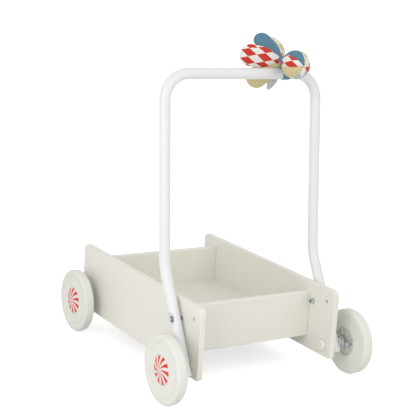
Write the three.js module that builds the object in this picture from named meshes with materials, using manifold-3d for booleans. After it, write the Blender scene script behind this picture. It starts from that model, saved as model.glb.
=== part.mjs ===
// Toddler push cart with a bent-tube handle, four rubber-tyred wheels and a squeaky flower on the bar.
//
// Millimetres. +X is the child's right, +Y is the way the cart is pushed, +Z is up.
// The origin lies on the floor, midway between the two axles and between the two sides.

import * as THREE from 'three';
import { mergeVertices } from 'three/addons/utils/BufferGeometryUtils.js';
import Module from 'manifold-3d';

const wasm = await Module();
wasm.setup();

// Fits
const seatGap = 0.3; // left between any two pieces that touch
const cutOverrun = 1; // how far a cutting tool runs past the face it opens
const weldDistance = 0.0005;

// Wheels
const wheelDiameter = 110;
const tyreSides = 28;
const tyreShoulderSteps = 3;
const hubSides = 20;
const wheelbase = 363;
const tyreWidth = 24;
const tyreBoreWidth = 20;
const tyreShoulderRadius = 6;
const tyreRibWidth = 6;
const tyreRibHeight = 2;
const rimDiameter = 82;
const hubWidth = 20;
const hubRecessDiameter = 48;
const hubRecessDepth = 8;
const hubBossDiameter = 18;
const hubBossSetback = 1.2; // from the inner rim face down to the boss and the ribs
const hubRibCount = 8;
const hubRibThickness = 2.2;
const hubDish = 0.8; // how far the outer face rises from the rim to the cap
const nutPocketDiameter = 26;
const nutPocketDepth = 8;
const bushOuterDiameter = 12;
const bushFlangeDiameter = 16;
const bushFlangeThickness = 1.2;
const capDiameter = 46;
const capRecessDepth = 1.6;
const capWall = 1.4;
const capDome = 4.2;
const capEdge = 1;
const capSteps = 4;

// Axles, each a hexagon-headed bolt put in from inside the cart
const axleDiameter = 8;
const axleHeadAcrossFlats = 13;
const axleHeadHeight = 5.3;
const axleTipOverhang = 1;
const boreClearance = 0.3; // radial, round every bolt and axle
const roundSides = 12;
const lockNutThickness = 8;
const lockNutFlangeDiameter = 17.9;
const lockNutFlangeThickness = 1.6;
const coverCapWall = 1.3;
const coverCapCorner = 2.5;

// Side panels
const panelHeight = 118;
const boardThickness = 10;
const panelCornerRadius = 11;
const panelCornerSteps = 4;
const edgeRadius = 2;
const edgeSteps = 1;
const axleAbovePanelFoot = 20.3;
const rearAxleInset = 20.3; // from the panels' rear ends
const frontAxleInset = 29.7; // from the panels' front ends

// End boards and base, between the side panels
const boxInnerWidth = 247;
const endBoardHeight = 79;
const endBoardFoot = 22; // above the foot of the side panels
const rearBoardClearance = 2.6; // between the handle nuts and the rear board's outer face
const frontBoardInset = 35.3; // from the panels' front ends to the front board's outer face
const baseThickness = 6;
const baseAboveBoardFoot = 7.6;
const grooveDepth = 4;
const tenonLength = 5;
const tenonThickness = 6;
const tenonAboveBase = 4;
const tenonBelowTop = 9;
const capNotchClearance = 1.5; // round the axle caps, where an end board comes near one

// Handle, one bent steel tube
const tubeDiameter = 18;
const tubeWall = 1.5;
const tubeSides = 12;
const legGap = 2.8; // between the side panel and the leg
const tubeBelowAxle = 15.7;
const barHeight = 495.2;
const barAheadOfAxle = 110.7;
const kneeHeight = 195.8;
const kneeAheadOfAxle = 78.2;
const kneeRadius = 90;
const kneeSteps = 5;
const cornerRadius = 42;
const cornerSteps = 7;
const handleHoleRadius = 75.6; // from the rear axle to the two handle holes
const boltSeatDepth = 2;
const boltSeatDiameter = 13;

// Handle bolts
const boltDiameter = 5;
const boltHeadDiameter = 9.5;
const boltHeadHeight = 2.75;
const boltCrownShare = 1 / 3; // of the head's height, for each step of its round crown
const boltSocketDiameter = 3.4;
const boltSocketDepth = 1.6;
const boltTipOverhang = 1;
const boltNutAcrossFlats = 8;
const boltNutThickness = 5;
const boltNutFlangeDiameter = 11.8;
const boltNutFlangeThickness = 1.1;
const legWasherDiameter = 13;
const spareHoleDiameter = 6;

// Friction brake on each rear axle
const glideRingDiameter = 15.5;
const glideRingThickness = 2.5;
const brakeCollarDiameter = 23;
const brakeCollarWidth = 7.2;
const brakeCollarChamfer = 1;
const brakeGrooveCount = 8;
const brakeGrooveWidth = 1.6;
const brakeGrooveDepth = 0.8;
const brakeScrewDiameter = 5;
const brakeScrewHeadDiameter = 8.5;
const brakeScrewHeadHeight = 5;
const brakeSocketDiameter = 4.2;
const brakeSocketDepth = 2.4;

// Front axle spacer
const frontSpacerDiameter = 16;
const frontSpacerLength = 10.4;

// Squeaky flower that hangs on the bar by a loop
const toyAcross = 73; // from the middle of the bar to the flower's axis
const toyAxisAboveBar = 18.9;
const toyBallDiameter = 47;
const toyBallBehindBar = 40;
const toyBallGores = 6;
const stationsPerGore = 4;
const toyBallRings = 10;
const goreSwell = 0.7;
const toyLoopLeftEdge = -0.6; // from the flower's axis, towards the cart's right
const toyLoopRightEdge = 15;
const toyLoopWall = 1.5;
const toyLoopSides = 18;
const toyCoreDiameter = 17;
const toyCoreAheadOfBar = 2;
const toyCoreRightOfAxis = 4;
const toyCoreAboveAxis = 3;
const toyCoreSides = 14;
const toyNeckDiameter = 18;
const toyNeckWaist = 14.5;
const toyNeckWaistBehindBar = 4.5;
const toyNeckInsideBall = 12; // before it is cut back to the ball's surface
const squeakerDiameter = 20;
const squeakerHeight = 14;
const squeakerFolds = 3;
const squeakerFoldDepth = 1.6;
const stuffingHoleDiameter = 3;
const petalLength = 58;
const petalWidth = 37;
const petalThickness = 9;
const petalRootWidth = 6.4;
const petalRootThickness = 4.6;
const petalWidestShare = 0.6; // of the petal's length
const petalStations = 8;
const petalSides = 12;
const petalCup = 5; // how far the tip bends towards the ball

// Each petal points a whole turn's share round the toy's axis, counted from the cart's left upwards.
const petalPlan = [
  { name: 'toy_petal_check', turn: 7, sweep: 34, roll: 0, lengthShare: 1.07, colour: 0xcf3a2b },
  { name: 'toy_petal_blue', turn: 50, sweep: 46, roll: -10, lengthShare: 0.9, colour: 0x4f8aa6 },
  { name: 'toy_petal_cream', turn: 113, sweep: 63, roll: -20, lengthShare: 0.93, colour: 0xdccf96 },
  { name: 'toy_petal_red', turn: 190, sweep: 30, roll: 15, lengthShare: 0.85, colour: 0xcf3a2b },
  { name: 'toy_petal_grey', turn: 262, sweep: 42, roll: -30, lengthShare: 1, colour: 0xb4c2c4 },
  { name: 'toy_petal_yellow', turn: 314, sweep: 33, roll: 22, lengthShare: 1.04, colour: 0xd8cf92 },
];

// Places that follow from the sizes above
const axleRadius = axleDiameter / 2;
const wheelRadius = wheelDiameter / 2;
const rearAxleY = -wheelbase / 2;
const frontAxleY = wheelbase / 2;
const panelFootZ = wheelRadius - axleAbovePanelFoot;
const panelTopZ = panelFootZ + panelHeight;
const panelRearY = rearAxleY - rearAxleInset;
const panelFrontY = frontAxleY + frontAxleInset;
const innerHalfWidth = boxInnerWidth / 2;
const outerHalfWidth = innerHalfWidth + boardThickness;
const endBoardFootZ = panelFootZ + endBoardFoot;
const frontBoardY = panelFrontY - frontBoardInset - boardThickness;
const baseZ = endBoardFootZ + baseAboveBoardFoot;
const tubeRadius = tubeDiameter / 2;
const legX = outerHalfWidth + legGap + tubeRadius;
const kneeY = rearAxleY + kneeAheadOfAxle;
const barY = rearAxleY + barAheadOfAxle;
const legLean = Math.atan2(kneeAheadOfAxle, kneeHeight - wheelRadius);
const handleBoltY = rearAxleY + handleHoleRadius * Math.sin(legLean);
const handleBoltZ = wheelRadius + handleHoleRadius * Math.cos(legLean);
const rearBoardY = handleBoltY + boltNutFlangeDiameter / 2 + rearBoardClearance;
const axleBoreRadius = axleRadius + boreClearance;
const coverCapInnerRadius = axleHeadAcrossFlats / Math.sqrt(3) + seatGap;
const coverCapRadius = coverCapInnerRadius + coverCapWall;
const coverCapTopX = innerHalfWidth - axleHeadHeight - 2 * seatGap - coverCapWall;
const boltBoreRadius = boltDiameter / 2 + boreClearance;
const glideRingX = legX + tubeRadius + seatGap;
const brakeCollarX = glideRingX + glideRingThickness + seatGap;
const rearWheelInnerX = brakeCollarX + brakeCollarWidth + seatGap;
const frontSpacerX = outerHalfWidth + seatGap;
const frontWheelInnerX = frontSpacerX + frontSpacerLength + seatGap;

// Places along a wheel's own axis, which points outwards from the middle of the tyre
const hubInnerFace = -hubWidth / 2;
const hubOuterFace = hubWidth / 2;
const bossFace = hubInnerFace + hubBossSetback;
const bushInnerFace = bossFace - seatGap - bushFlangeThickness;
const capSeatFace = hubOuterFace + hubDish - capRecessDepth;
const pocketFloor = capSeatFace - nutPocketDepth;
const lockNutInner = pocketFloor + seatGap;
const axleTip = lockNutInner + lockNutThickness + axleTipOverhang;
const rearWheelX = rearWheelInnerX - bushInnerFace;
const frontWheelX = frontWheelInnerX - bushInnerFace;

const AXIS_X = new THREE.Vector3(1, 0, 0);
const AXIS_Y = new THREE.Vector3(0, 1, 0);
const AXIS_Z = new THREE.Vector3(0, 0, 1);
const SIDES = { left: -1, right: 1 };

// Finishes
const cottonRoughness = 0.9;
const paint = new THREE.MeshStandardMaterial({ color: 0xe6e4da, roughness: 0.45 });
const enamel = new THREE.MeshStandardMaterial({ color: 0xf4f5f5, roughness: 0.25 });
const wheelPlastic = new THREE.MeshStandardMaterial({ color: 0xe0dfd4, roughness: 0.5 });
const rubber = new THREE.MeshStandardMaterial({ color: 0xdddccf, roughness: 0.7 });
const printedCap = new THREE.MeshStandardMaterial({ color: 0xde4630, roughness: 0.35 });
const nylon = new THREE.MeshStandardMaterial({ color: 0xe9e6da, roughness: 0.4 });
const zinc = new THREE.MeshStandardMaterial({ color: 0xb9bec2, roughness: 0.35, metalness: 1 });
const cotton = (color) => new THREE.MeshStandardMaterial({ color, roughness: cottonRoughness });
const blueCotton = cotton(0x4f8aa6);
const checkCotton = cotton(0xcf3a2b);

// Turns a geometry into a solid: equal corners are joined, and triangles with no area are dropped.
function solidOf(geometry) {
  const bare = new THREE.BufferGeometry();
  bare.setAttribute('position', geometry.getAttribute('position').clone());
  if (geometry.index) bare.setIndex(geometry.index.clone());
  const welded = mergeVertices(bare, weldDistance);
  const corners = welded.index.array;
  const triVerts = [];
  for (let i = 0; i < corners.length; i += 3) {
    const [a, b, c] = corners.slice(i, i + 3);
    if (a !== b && b !== c && c !== a) triVerts.push(a, b, c);
  }
  return new wasm.Manifold(new wasm.Mesh({
    numProp: 3,
    vertProperties: welded.getAttribute('position').array,
    triVerts: new Uint32Array(triVerts),
  }));
}

function geometryOf(solid) {
  const mesh = solid.getMesh();
  const geometry = new THREE.BufferGeometry();
  geometry.setAttribute('position', new THREE.Float32BufferAttribute(mesh.vertProperties, 3));
  geometry.setIndex(new THREE.BufferAttribute(mesh.triVerts, 1));
  geometry.computeVertexNormals();
  return geometry;
}

function cut(body, tools) {
  return tools.reduce((rest, tool) => rest.subtract(tool), body);
}

function join(solids) {
  return solids.reduce((sum, next) => sum.add(next));
}

function meshOf(name, solid, material) {
  const mesh = new THREE.Mesh(geometryOf(solid), material);
  mesh.name = name;
  return mesh;
}

// Two meshes from one solid that was made for the right side, the left one its mirror image.
function bothSides(name, solid, material) {
  return [
    meshOf(`${name}_left`, solid.mirror([1, 0, 0]), material),
    meshOf(`${name}_right`, solid, material),
  ];
}

function groupOf(...children) {
  const group = new THREE.Group();
  group.add(...children);
  return group;
}

// A revolved solid about +X. The profile lists [place along X, radius] pairs, from low X to high X
// along the outside and back along the bore, or ends on the axis.
function revolve(profile, sides) {
  const points = profile.map(([x, r]) => new THREE.Vector2(r, x));
  const geometry = new THREE.LatheGeometry(points, sides);
  geometry.rotateZ(-Math.PI / 2);
  geometry.rotateX(Math.PI / sides);
  return solidOf(geometry);
}

function rod(x0, x1, radius, sides = roundSides) {
  return revolve([[x0, 0], [x0, radius], [x1, radius], [x1, 0]], sides);
}

// A ring whose bore has its flats, not its corners, at the inner radius.
function ring(x0, x1, outer, inner, sides = roundSides) {
  const bore = flatsAt(inner, sides);
  return revolve([[x0, bore], [x0, outer], [x1, outer], [x1, bore], [x0, bore]], sides);
}

// A cutting tool for a round hole, with its flats at the stated radius.
function drill(x0, x1, radius, sides = roundSides) {
  return rod(x0, x1, flatsAt(radius, sides), sides);
}

// Widens a circle's radius so that the flats of its polygon, not its corners, lie at that radius.
function flatsAt(radius, sides) {
  return radius / Math.cos(Math.PI / sides);
}

function hexagonRod(x0, x1, acrossFlats) {
  return rod(x0, x1, acrossFlats / Math.sqrt(3), 6);
}

// A hexagon nut whose flange bears at x0, with the hexagon running on to x1.
function flangeNut(x0, x1, acrossFlats, flangeRadius, flangeThickness, boreRadius) {
  const outwards = Math.sign(x1 - x0);
  const overrun = cutOverrun * outwards;
  const between = (a, b, makeRod) => makeRod(Math.min(a, b), Math.max(a, b));
  const flange = between(x0, x0 + flangeThickness * outwards, (a, b) => rod(a, b, flangeRadius));
  const hexagon = between(x0, x1, (a, b) => hexagonRod(a, b, acrossFlats));
  const bore = between(x0 - overrun, x1 + overrun, (a, b) => drill(a, b, boreRadius));
  return flange.add(hexagon).subtract(bore);
}

function block(low, high) {
  const size = high.map((value, axis) => value - low[axis]);
  const middle = high.map((value, axis) => (value + low[axis]) / 2);
  const geometry = new THREE.BoxGeometry(...size);
  geometry.translate(...middle);
  return solidOf(geometry);
}

// A rectangle with round corners, on the shape's own two axes.
function roundedRectangle(x0, y0, x1, y1, radius) {
  const shape = new THREE.Shape();
  const quarter = Math.PI / 2;
  shape.absarc(x1 - radius, y1 - radius, radius, 0, quarter);
  shape.absarc(x0 + radius, y1 - radius, radius, quarter, 2 * quarter);
  shape.absarc(x0 + radius, y0 + radius, radius, 2 * quarter, 3 * quarter);
  shape.absarc(x1 - radius, y0 + radius, radius, 3 * quarter, 4 * quarter);
  shape.closePath();
  return shape;
}

// Lays an extrusion down so that its shape's axes become Y and Z and its depth runs along X.
function layAcross(geometry) {
  geometry.applyMatrix4(new THREE.Matrix4().makeBasis(AXIS_Y, AXIS_Z, AXIS_X));
  return geometry;
}

function at(solid, x, y, z) {
  return solid.translate([x, y, z]);
}

// One side panel, drawn for the right side: round corners and edges, bolt holes right through, and
// stopped grooves in the inner face for the end boards' tenons and for the base.
function sidePanel() {
  const shape = roundedRectangle(
    panelRearY + edgeRadius, panelFootZ + edgeRadius,
    panelFrontY - edgeRadius, panelTopZ - edgeRadius, panelCornerRadius - edgeRadius,
  );
  const geometry = layAcross(new THREE.ExtrudeGeometry(shape, {
    depth: boardThickness - 2 * edgeRadius,
    bevelThickness: edgeRadius,
    bevelSize: edgeRadius,
    bevelSegments: edgeSteps,
    curveSegments: panelCornerSteps,
  }));
  geometry.translate(innerHalfWidth + edgeRadius, 0, 0);
  const through = [innerHalfWidth - cutOverrun, outerHalfWidth + cutOverrun];
  const holes = [
    at(drill(...through, axleBoreRadius), 0, rearAxleY, wheelRadius),
    at(drill(...through, axleBoreRadius), 0, frontAxleY, wheelRadius),
    at(drill(...through, boltBoreRadius), 0, handleBoltY, handleBoltZ),
    at(drill(...through, spareHoleDiameter / 2), 0, rearAxleY, wheelRadius + handleHoleRadius),
  ];
  for (const boardY of [rearBoardY, frontBoardY]) {
    holes.push(tenon(boardY, innerHalfWidth - cutOverrun, innerHalfWidth + tenonLength + seatGap, seatGap));
  }
  holes.push(block(
    [innerHalfWidth - cutOverrun, baseRearY() - seatGap, baseZ - seatGap],
    [innerHalfWidth + grooveDepth + seatGap, baseFrontY() + seatGap, baseZ + baseThickness + seatGap],
  ));
  return cut(solidOf(geometry), holes);
}

function baseRearY() {
  return rearBoardY + boardThickness - grooveDepth;
}

function baseFrontY() {
  return frontBoardY + grooveDepth;
}

// The stub tenon of an end board between two places across the cart, grown all round by a margin.
function tenon(boardY, x0, x1, margin) {
  const shoulder = (boardThickness - tenonThickness) / 2 - margin;
  const foot = baseZ + baseThickness + tenonAboveBase - margin;
  const top = endBoardFootZ + endBoardHeight - tenonBelowTop + margin;
  return block([x0, boardY + shoulder, foot], [x1, boardY + boardThickness - shoulder, top]);
}

// An end board with rounded long edges, a groove for the base on one face, and a tenon at each end.
// Its lower corners are notched where they would meet the caps of the nearest axle.
function endBoard(boardY, grooveY, axleY) {
  const halfLength = innerHalfWidth - seatGap;
  const shape = roundedRectangle(
    boardY, endBoardFootZ, boardY + boardThickness, endBoardFootZ + endBoardHeight, edgeRadius,
  );
  const geometry = layAcross(new THREE.ExtrudeGeometry(shape, {
    depth: 2 * halfLength, bevelEnabled: false, curveSegments: 2 * edgeSteps,
  }));
  geometry.translate(-halfLength, 0, 0);
  const groove = block(
    [-halfLength - cutOverrun, grooveY[0], baseZ - seatGap],
    [halfLength + cutOverrun, grooveY[1], baseZ + baseThickness + seatGap],
  );
  const notch = at(
    drill(coverCapTopX - capNotchClearance, innerHalfWidth, coverCapRadius + capNotchClearance),
    0, axleY, wheelRadius,
  );
  const tenonReach = innerHalfWidth + tenonLength;
  return cut(solidOf(geometry), [groove, notch, notch.mirror([1, 0, 0])])
    .add(tenon(boardY, -tenonReach, tenonReach, 0));
}

function baseBoard() {
  const reach = innerHalfWidth + grooveDepth;
  return block([-reach, baseRearY(), baseZ], [reach, baseFrontY(), baseZ + baseThickness]);
}

function makeBox() {
  const panel = sidePanel();
  const rearGroove = [baseRearY() - seatGap, rearBoardY + boardThickness + cutOverrun];
  const frontGroove = [frontBoardY - cutOverrun, baseFrontY() + seatGap];
  return groupOf(
    ...bothSides('side_panel', panel, paint),
    meshOf('rear_board', endBoard(rearBoardY, rearGroove, rearAxleY), paint),
    meshOf('front_board', endBoard(frontBoardY, frontGroove, frontAxleY), paint),
    meshOf('base_board', baseBoard(), paint),
  );
}

// A path whose stations are given one by one, so that straight runs get few and bends get many.
class StationPath extends THREE.Curve {
  constructor(stations) {
    super();
    this.stations = stations;
  }

  getPoint(t) {
    const place = t * (this.stations.length - 1);
    const index = Math.min(Math.floor(place), this.stations.length - 2);
    return this.stations[index].clone().lerp(this.stations[index + 1], place - index);
  }

  getTangent(t) {
    const last = this.stations.length - 1;
    const index = Math.round(t * last);
    const before = this.stations[Math.max(index - 1, 0)];
    const after = this.stations[Math.min(index + 1, last)];
    return after.clone().sub(before).normalize();
  }

  getPointAt(t) {
    return this.getPoint(t);
  }

  getTangentAt(t) {
    return this.getTangent(t);
  }
}

// The stations of an arc of the given radius that rounds the corner between two straight runs.
function roundCorner(before, corner, after, radius, steps) {
  const back = before.clone().sub(corner).normalize();
  const ahead = after.clone().sub(corner).normalize();
  const half = back.angleTo(ahead) / 2;
  const bisector = back.clone().add(ahead).normalize();
  const centre = corner.clone().addScaledVector(bisector, radius / Math.sin(half));
  const start = corner.clone().addScaledVector(back, radius / Math.tan(half));
  const axis = new THREE.Vector3().crossVectors(back, ahead).normalize();
  const turn = Math.PI - 2 * half;
  const spoke = start.clone().sub(centre);
  return Array.from({ length: steps + 1 }, (_, i) =>
    spoke.clone().applyAxisAngle(axis, -turn * i / steps).add(centre));
}

// The middle line of the handle tube, from the foot of the left leg to the foot of the right one.
function handleStations() {
  const knee = new THREE.Vector3(-legX, kneeY, kneeHeight);
  const axle = new THREE.Vector3(-legX, rearAxleY, wheelRadius);
  const down = axle.clone().sub(knee).normalize();
  const foot = axle.clone().addScaledVector(down, tubeBelowAxle);
  const corner = new THREE.Vector3(-legX, barY, barHeight);
  const middle = new THREE.Vector3(0, barY, barHeight);
  const leftHalf = [
    foot,
    ...roundCorner(foot, knee, corner, kneeRadius, kneeSteps),
    ...roundCorner(knee, corner, middle, cornerRadius, cornerSteps),
  ];
  const rightHalf = leftHalf.map((point) => new THREE.Vector3(-point.x, point.y, point.z)).reverse();
  return [...leftHalf, ...rightHalf];
}

function sweptRod(stations, radius) {
  const section = new THREE.Shape();
  section.absarc(0, 0, radius, 0, 2 * Math.PI);
  return solidOf(new THREE.ExtrudeGeometry(section, {
    steps: stations.length - 1,
    extrudePath: new StationPath(stations),
    curveSegments: tubeSides / 2,
  }));
}

// The bent tube: pressed seats for the two bolt heads, and holes for the bolts and the rear axles.
function handleTube() {
  const stations = handleStations();
  const bore = stations.slice();
  const last = stations.length - 1;
  const stretch = (end, next) => end.clone().addScaledVector(end.clone().sub(next).normalize(), cutOverrun);
  bore[0] = stretch(stations[0], stations[1]);
  bore[last] = stretch(stations[last], stations[last - 1]);
  const seatFloor = legX + tubeRadius - boltSeatDepth;
  const crown = legX + tubeRadius + cutOverrun;
  const seat = at(rod(seatFloor, crown, boltSeatDiameter / 2), 0, handleBoltY, handleBoltZ);
  const pressed = at(
    rod(seatFloor - tubeWall, crown, boltSeatDiameter / 2 + tubeWall), 0, handleBoltY, handleBoltZ,
  );
  const outside = cut(sweptRod(stations, tubeRadius), [seat, seat.mirror([1, 0, 0])]);
  const inside = cut(sweptRod(bore, tubeRadius - tubeWall), [pressed, pressed.mirror([1, 0, 0])]);
  const reach = legX + tubeRadius + cutOverrun;
  return cut(outside, [
    inside,
    at(drill(-reach, reach, boltBoreRadius), 0, handleBoltY, handleBoltZ),
    at(drill(-reach, reach, axleBoreRadius), 0, rearAxleY, wheelRadius),
  ]);
}

function handleBolt() {
  const seat = legX + tubeRadius - boltSeatDepth + seatGap;
  const top = seat + boltHeadHeight;
  const tip = innerHalfWidth - seatGap - boltNutThickness - boltTipOverhang;
  const headRadius = boltHeadDiameter / 2;
  const crown = boltHeadHeight * boltCrownShare;
  const head = revolve([
    [seat, 0], [seat, headRadius], [top - 2 * crown, headRadius],
    [top - crown, headRadius - crown], [top, headRadius - 2 * crown], [top, 0],
  ], roundSides);
  const shank = rod(tip, seat + cutOverrun, boltDiameter / 2);
  const socket = hexagonRod(top - boltSocketDepth, top + cutOverrun, boltSocketDiameter);
  return head.add(shank).subtract(socket);
}

function makeHandle() {
  const place = (solid) => at(solid, 0, handleBoltY, handleBoltZ);
  const nutX = innerHalfWidth - seatGap;
  const nut = flangeNut(
    nutX, nutX - boltNutThickness, boltNutAcrossFlats, boltNutFlangeDiameter / 2,
    boltNutFlangeThickness, boltBoreRadius,
  );
  const legWasher = ring(
    outerHalfWidth + seatGap, outerHalfWidth + legGap - seatGap, legWasherDiameter / 2, boltBoreRadius,
  );
  return groupOf(
    meshOf('handle_tube', handleTube(), enamel),
    ...bothSides('handle_bolt', place(handleBolt()), zinc),
    ...bothSides('handle_leg_washer', place(legWasher), zinc),
    ...bothSides('handle_nut', place(nut), zinc),
  );
}

// A bolt from inside the panel to just past the lock nut of a wheel whose middle is at wheelX.
function axleBolt(wheelX) {
  const headX = innerHalfWidth - seatGap;
  return hexagonRod(headX - axleHeadHeight, headX, axleHeadAcrossFlats)
    .add(rod(headX - cutOverrun, wheelX + axleTip, axleRadius));
}

// A thin domed cap over an axle bolt's head, against the inner face of a panel.
function coverCap() {
  const rim = innerHalfWidth - seatGap;
  const inside = coverCapTopX + coverCapWall;
  const corner = coverCapCorner;
  const slope = corner * (1 - Math.SQRT1_2);
  return revolve([
    [coverCapTopX, 0], [coverCapTopX, coverCapRadius - corner],
    [coverCapTopX + slope, coverCapRadius - slope], [coverCapTopX + corner, coverCapRadius],
    [rim, coverCapRadius], [rim, coverCapInnerRadius], [inside, coverCapInnerRadius], [inside, 0],
  ], roundSides);
}

// What every axle has: its bolt, the cap over the bolt's head, and the lock nut in the wheel's pocket.
function makeAxle(label, axleY, wheelX) {
  const nutX = wheelX + lockNutInner;
  const lockNut = flangeNut(
    nutX, nutX + lockNutThickness, axleHeadAcrossFlats, lockNutFlangeDiameter / 2,
    lockNutFlangeThickness, axleBoreRadius,
  );
  const axle = groupOf(
    ...bothSides(`${label}_axle_bolt`, axleBolt(wheelX), zinc),
    ...bothSides(`${label}_axle_cap`, coverCap(), nylon),
    ...bothSides(`${label}_lock_nut`, lockNut, zinc),
  );
  axle.position.set(0, axleY, wheelRadius);
  return axle;
}

function makeRearAxle() {
  const legSpacer = ring(
    outerHalfWidth + seatGap, outerHalfWidth + legGap - seatGap, legWasherDiameter / 2, axleBoreRadius,
  );
  const glideRing = ring(glideRingX, glideRingX + glideRingThickness, glideRingDiameter / 2, axleBoreRadius);
  const axle = makeAxle('rear', rearAxleY, rearWheelX);
  axle.add(
    ...bothSides('rear_leg_spacer', legSpacer, nylon),
    ...bothSides('rear_glide_ring', glideRing, nylon),
    ...bothSides('brake_collar', brakeCollar(), zinc),
    ...bothSides('brake_screw', brakeScrew(), zinc),
  );
  return axle;
}

function makeFrontAxle() {
  const spacer = ring(
    frontSpacerX, frontSpacerX + frontSpacerLength, frontSpacerDiameter / 2, axleBoreRadius,
  );
  const axle = makeAxle('front', frontAxleY, frontWheelX);
  axle.add(...bothSides('front_spacer', spacer, nylon));
  return axle;
}

// The brake collar on the right rear axle, with fine grooves round it and a hole for its screw.
function brakeCollar() {
  const x0 = brakeCollarX;
  const x1 = x0 + brakeCollarWidth;
  const outer = brakeCollarDiameter / 2;
  const chamfer = brakeCollarChamfer;
  const bore = flatsAt(axleBoreRadius, 2 * brakeGrooveCount);
  const body = revolve([
    [x0, bore], [x0, outer - chamfer], [x0 + chamfer, outer],
    [x1 - chamfer, outer], [x1, outer - chamfer], [x1, bore], [x0, bore],
  ], 2 * brakeGrooveCount);
  const groove = block(
    [x0 - cutOverrun, outer - brakeGrooveDepth, -brakeGrooveWidth / 2],
    [x1 + cutOverrun, outer + cutOverrun, brakeGrooveWidth / 2],
  );
  const tools = Array.from({ length: brakeGrooveCount }, (_, i) =>
    groove.rotate([360 * (i + 0.5) / brakeGrooveCount, 0, 0]));
  const screwHole = pointBackwards(drill(0, outer + cutOverrun, brakeScrewDiameter / 2 + boreClearance));
  tools.push(at(screwHole, x0 + brakeCollarWidth / 2, 0, 0));
  return cut(body, tools);
}

// Turns a solid that was made along +X so that it points to the rear, along -Y.
function pointBackwards(solid) {
  return solid.rotate([0, 0, -90]);
}

function brakeScrew() {
  const seat = brakeCollarDiameter / 2 + seatGap;
  const top = seat + brakeScrewHeadHeight;
  const shank = rod(axleRadius + seatGap, seat + cutOverrun, brakeScrewDiameter / 2);
  const head = rod(seat, top, brakeScrewHeadDiameter / 2);
  const socket = hexagonRod(top - brakeSocketDepth, top + cutOverrun, brakeSocketDiameter);
  return at(pointBackwards(shank.add(head).subtract(socket)), brakeCollarX + brakeCollarWidth / 2, 0, 0);
}

// The rubber tyre: round shoulders, a flat tread, and a rib inside that holds it in the rim's groove.
function tyre() {
  const tread = flatsAt(wheelRadius, tyreSides);
  const bore = flatsAt(rimDiameter / 2 + seatGap, tyreSides);
  const halfWidth = tyreWidth / 2;
  const halfBore = tyreBoreWidth / 2;
  const steps = tyreShoulderSteps;
  const shoulder = (side) => Array.from({ length: steps + 1 }, (_, i) => {
    const angle = (Math.PI / 2) * (side < 0 ? i : steps - i) / steps;
    return [
      side * (halfWidth - tyreShoulderRadius + tyreShoulderRadius * Math.cos(angle)),
      tread - tyreShoulderRadius + tyreShoulderRadius * Math.sin(angle),
    ];
  });
  return revolve([
    [-halfBore, bore], ...shoulder(-1), ...shoulder(1), [halfBore, bore],
    [tyreRibWidth / 2, bore], [tyreRibWidth / 2, bore - tyreRibHeight],
    [-tyreRibWidth / 2, bore - tyreRibHeight], [-tyreRibWidth / 2, bore], [-halfBore, bore],
  ], tyreSides);
}

// The moulded hub: a grooved rim, a seat for the cap, a pocket for the lock nut, and on the inner side
// a round recess with a boss and ribs.
function hub() {
  const rim = rimDiameter / 2;
  const grooveFloor = rim - tyreRibHeight;
  const halfGroove = tyreRibWidth / 2 + seatGap;
  const capSeat = flatsAt(capDiameter / 2 + seatGap, hubSides);
  const bore = flatsAt(bushOuterDiameter / 2 + seatGap, hubSides);
  const recess = hubRecessDiameter / 2;
  const recessFloor = hubInnerFace + hubRecessDepth;
  const boss = hubBossDiameter / 2;
  const pocket = nutPocketDiameter / 2;
  const body = revolve([
    [recessFloor, boss], [recessFloor, recess], [hubInnerFace, recess], [hubInnerFace, rim - edgeRadius],
    [hubInnerFace + edgeRadius, rim], [-halfGroove, rim], [-halfGroove, grooveFloor],
    [halfGroove, grooveFloor], [halfGroove, rim], [hubOuterFace, rim],
    [hubOuterFace + hubDish, capSeat], [capSeatFace, capSeat], [capSeatFace, pocket],
    [pocketFloor, pocket], [pocketFloor, bore], [bossFace, bore], [bossFace, boss], [recessFloor, boss],
  ], hubSides);
  const rib = block(
    [bossFace, boss - cutOverrun, -hubRibThickness / 2],
    [recessFloor + cutOverrun, recess + cutOverrun, hubRibThickness / 2],
  );
  const ribs = Array.from({ length: hubRibCount }, (_, i) => rib.rotate([360 * i / hubRibCount, 0, 0]));
  return join([body, ...ribs]);
}

// A flanged sleeve in the hub's bore, which turns on the axle.
function bush() {
  const inner = flatsAt(axleBoreRadius, roundSides);
  return revolve([
    [bushInnerFace, inner], [bushInnerFace, bushFlangeDiameter / 2],
    [bushInnerFace + bushFlangeThickness, bushFlangeDiameter / 2],
    [bushInnerFace + bushFlangeThickness, bushOuterDiameter / 2],
    [pocketFloor, bushOuterDiameter / 2], [pocketFloor, inner], [bushInnerFace, inner],
  ], roundSides);
}

// The domed hub cap, a thin shell over the lock nut. Each wall is an arc through its rim and its crown.
function hubCap() {
  const seat = capSeatFace + seatGap;
  const rimRadius = capDiameter / 2;
  const dome = (rim, foot) => Array.from({ length: capSteps + 1 }, (_, i) => {
    const share = 1 - i / capSteps;
    return [foot + capDome * (1 - share * share), rim * share];
  });
  const outer = dome(rimRadius, seat + capEdge);
  const inner = dome(rimRadius - capWall, seat).reverse();
  return revolve([...inner, [seat, rimRadius], ...outer], hubSides);
}

// One wheel turned to face its own side. Its group's origin is the middle of the tyre.
function makeWheel(label, side, wheelX, axleY) {
  const wheel = groupOf(
    meshOf(`tyre_${label}`, tyre(), rubber),
    meshOf(`wheel_hub_${label}`, hub(), wheelPlastic),
    meshOf(`wheel_bush_${label}`, bush(), nylon),
    meshOf(`hub_cap_${label}`, hubCap(), printedCap),
  );
  wheel.position.set(side * wheelX, axleY, wheelRadius);
  wheel.rotation.z = side > 0 ? 0 : Math.PI;
  return wheel;
}

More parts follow.
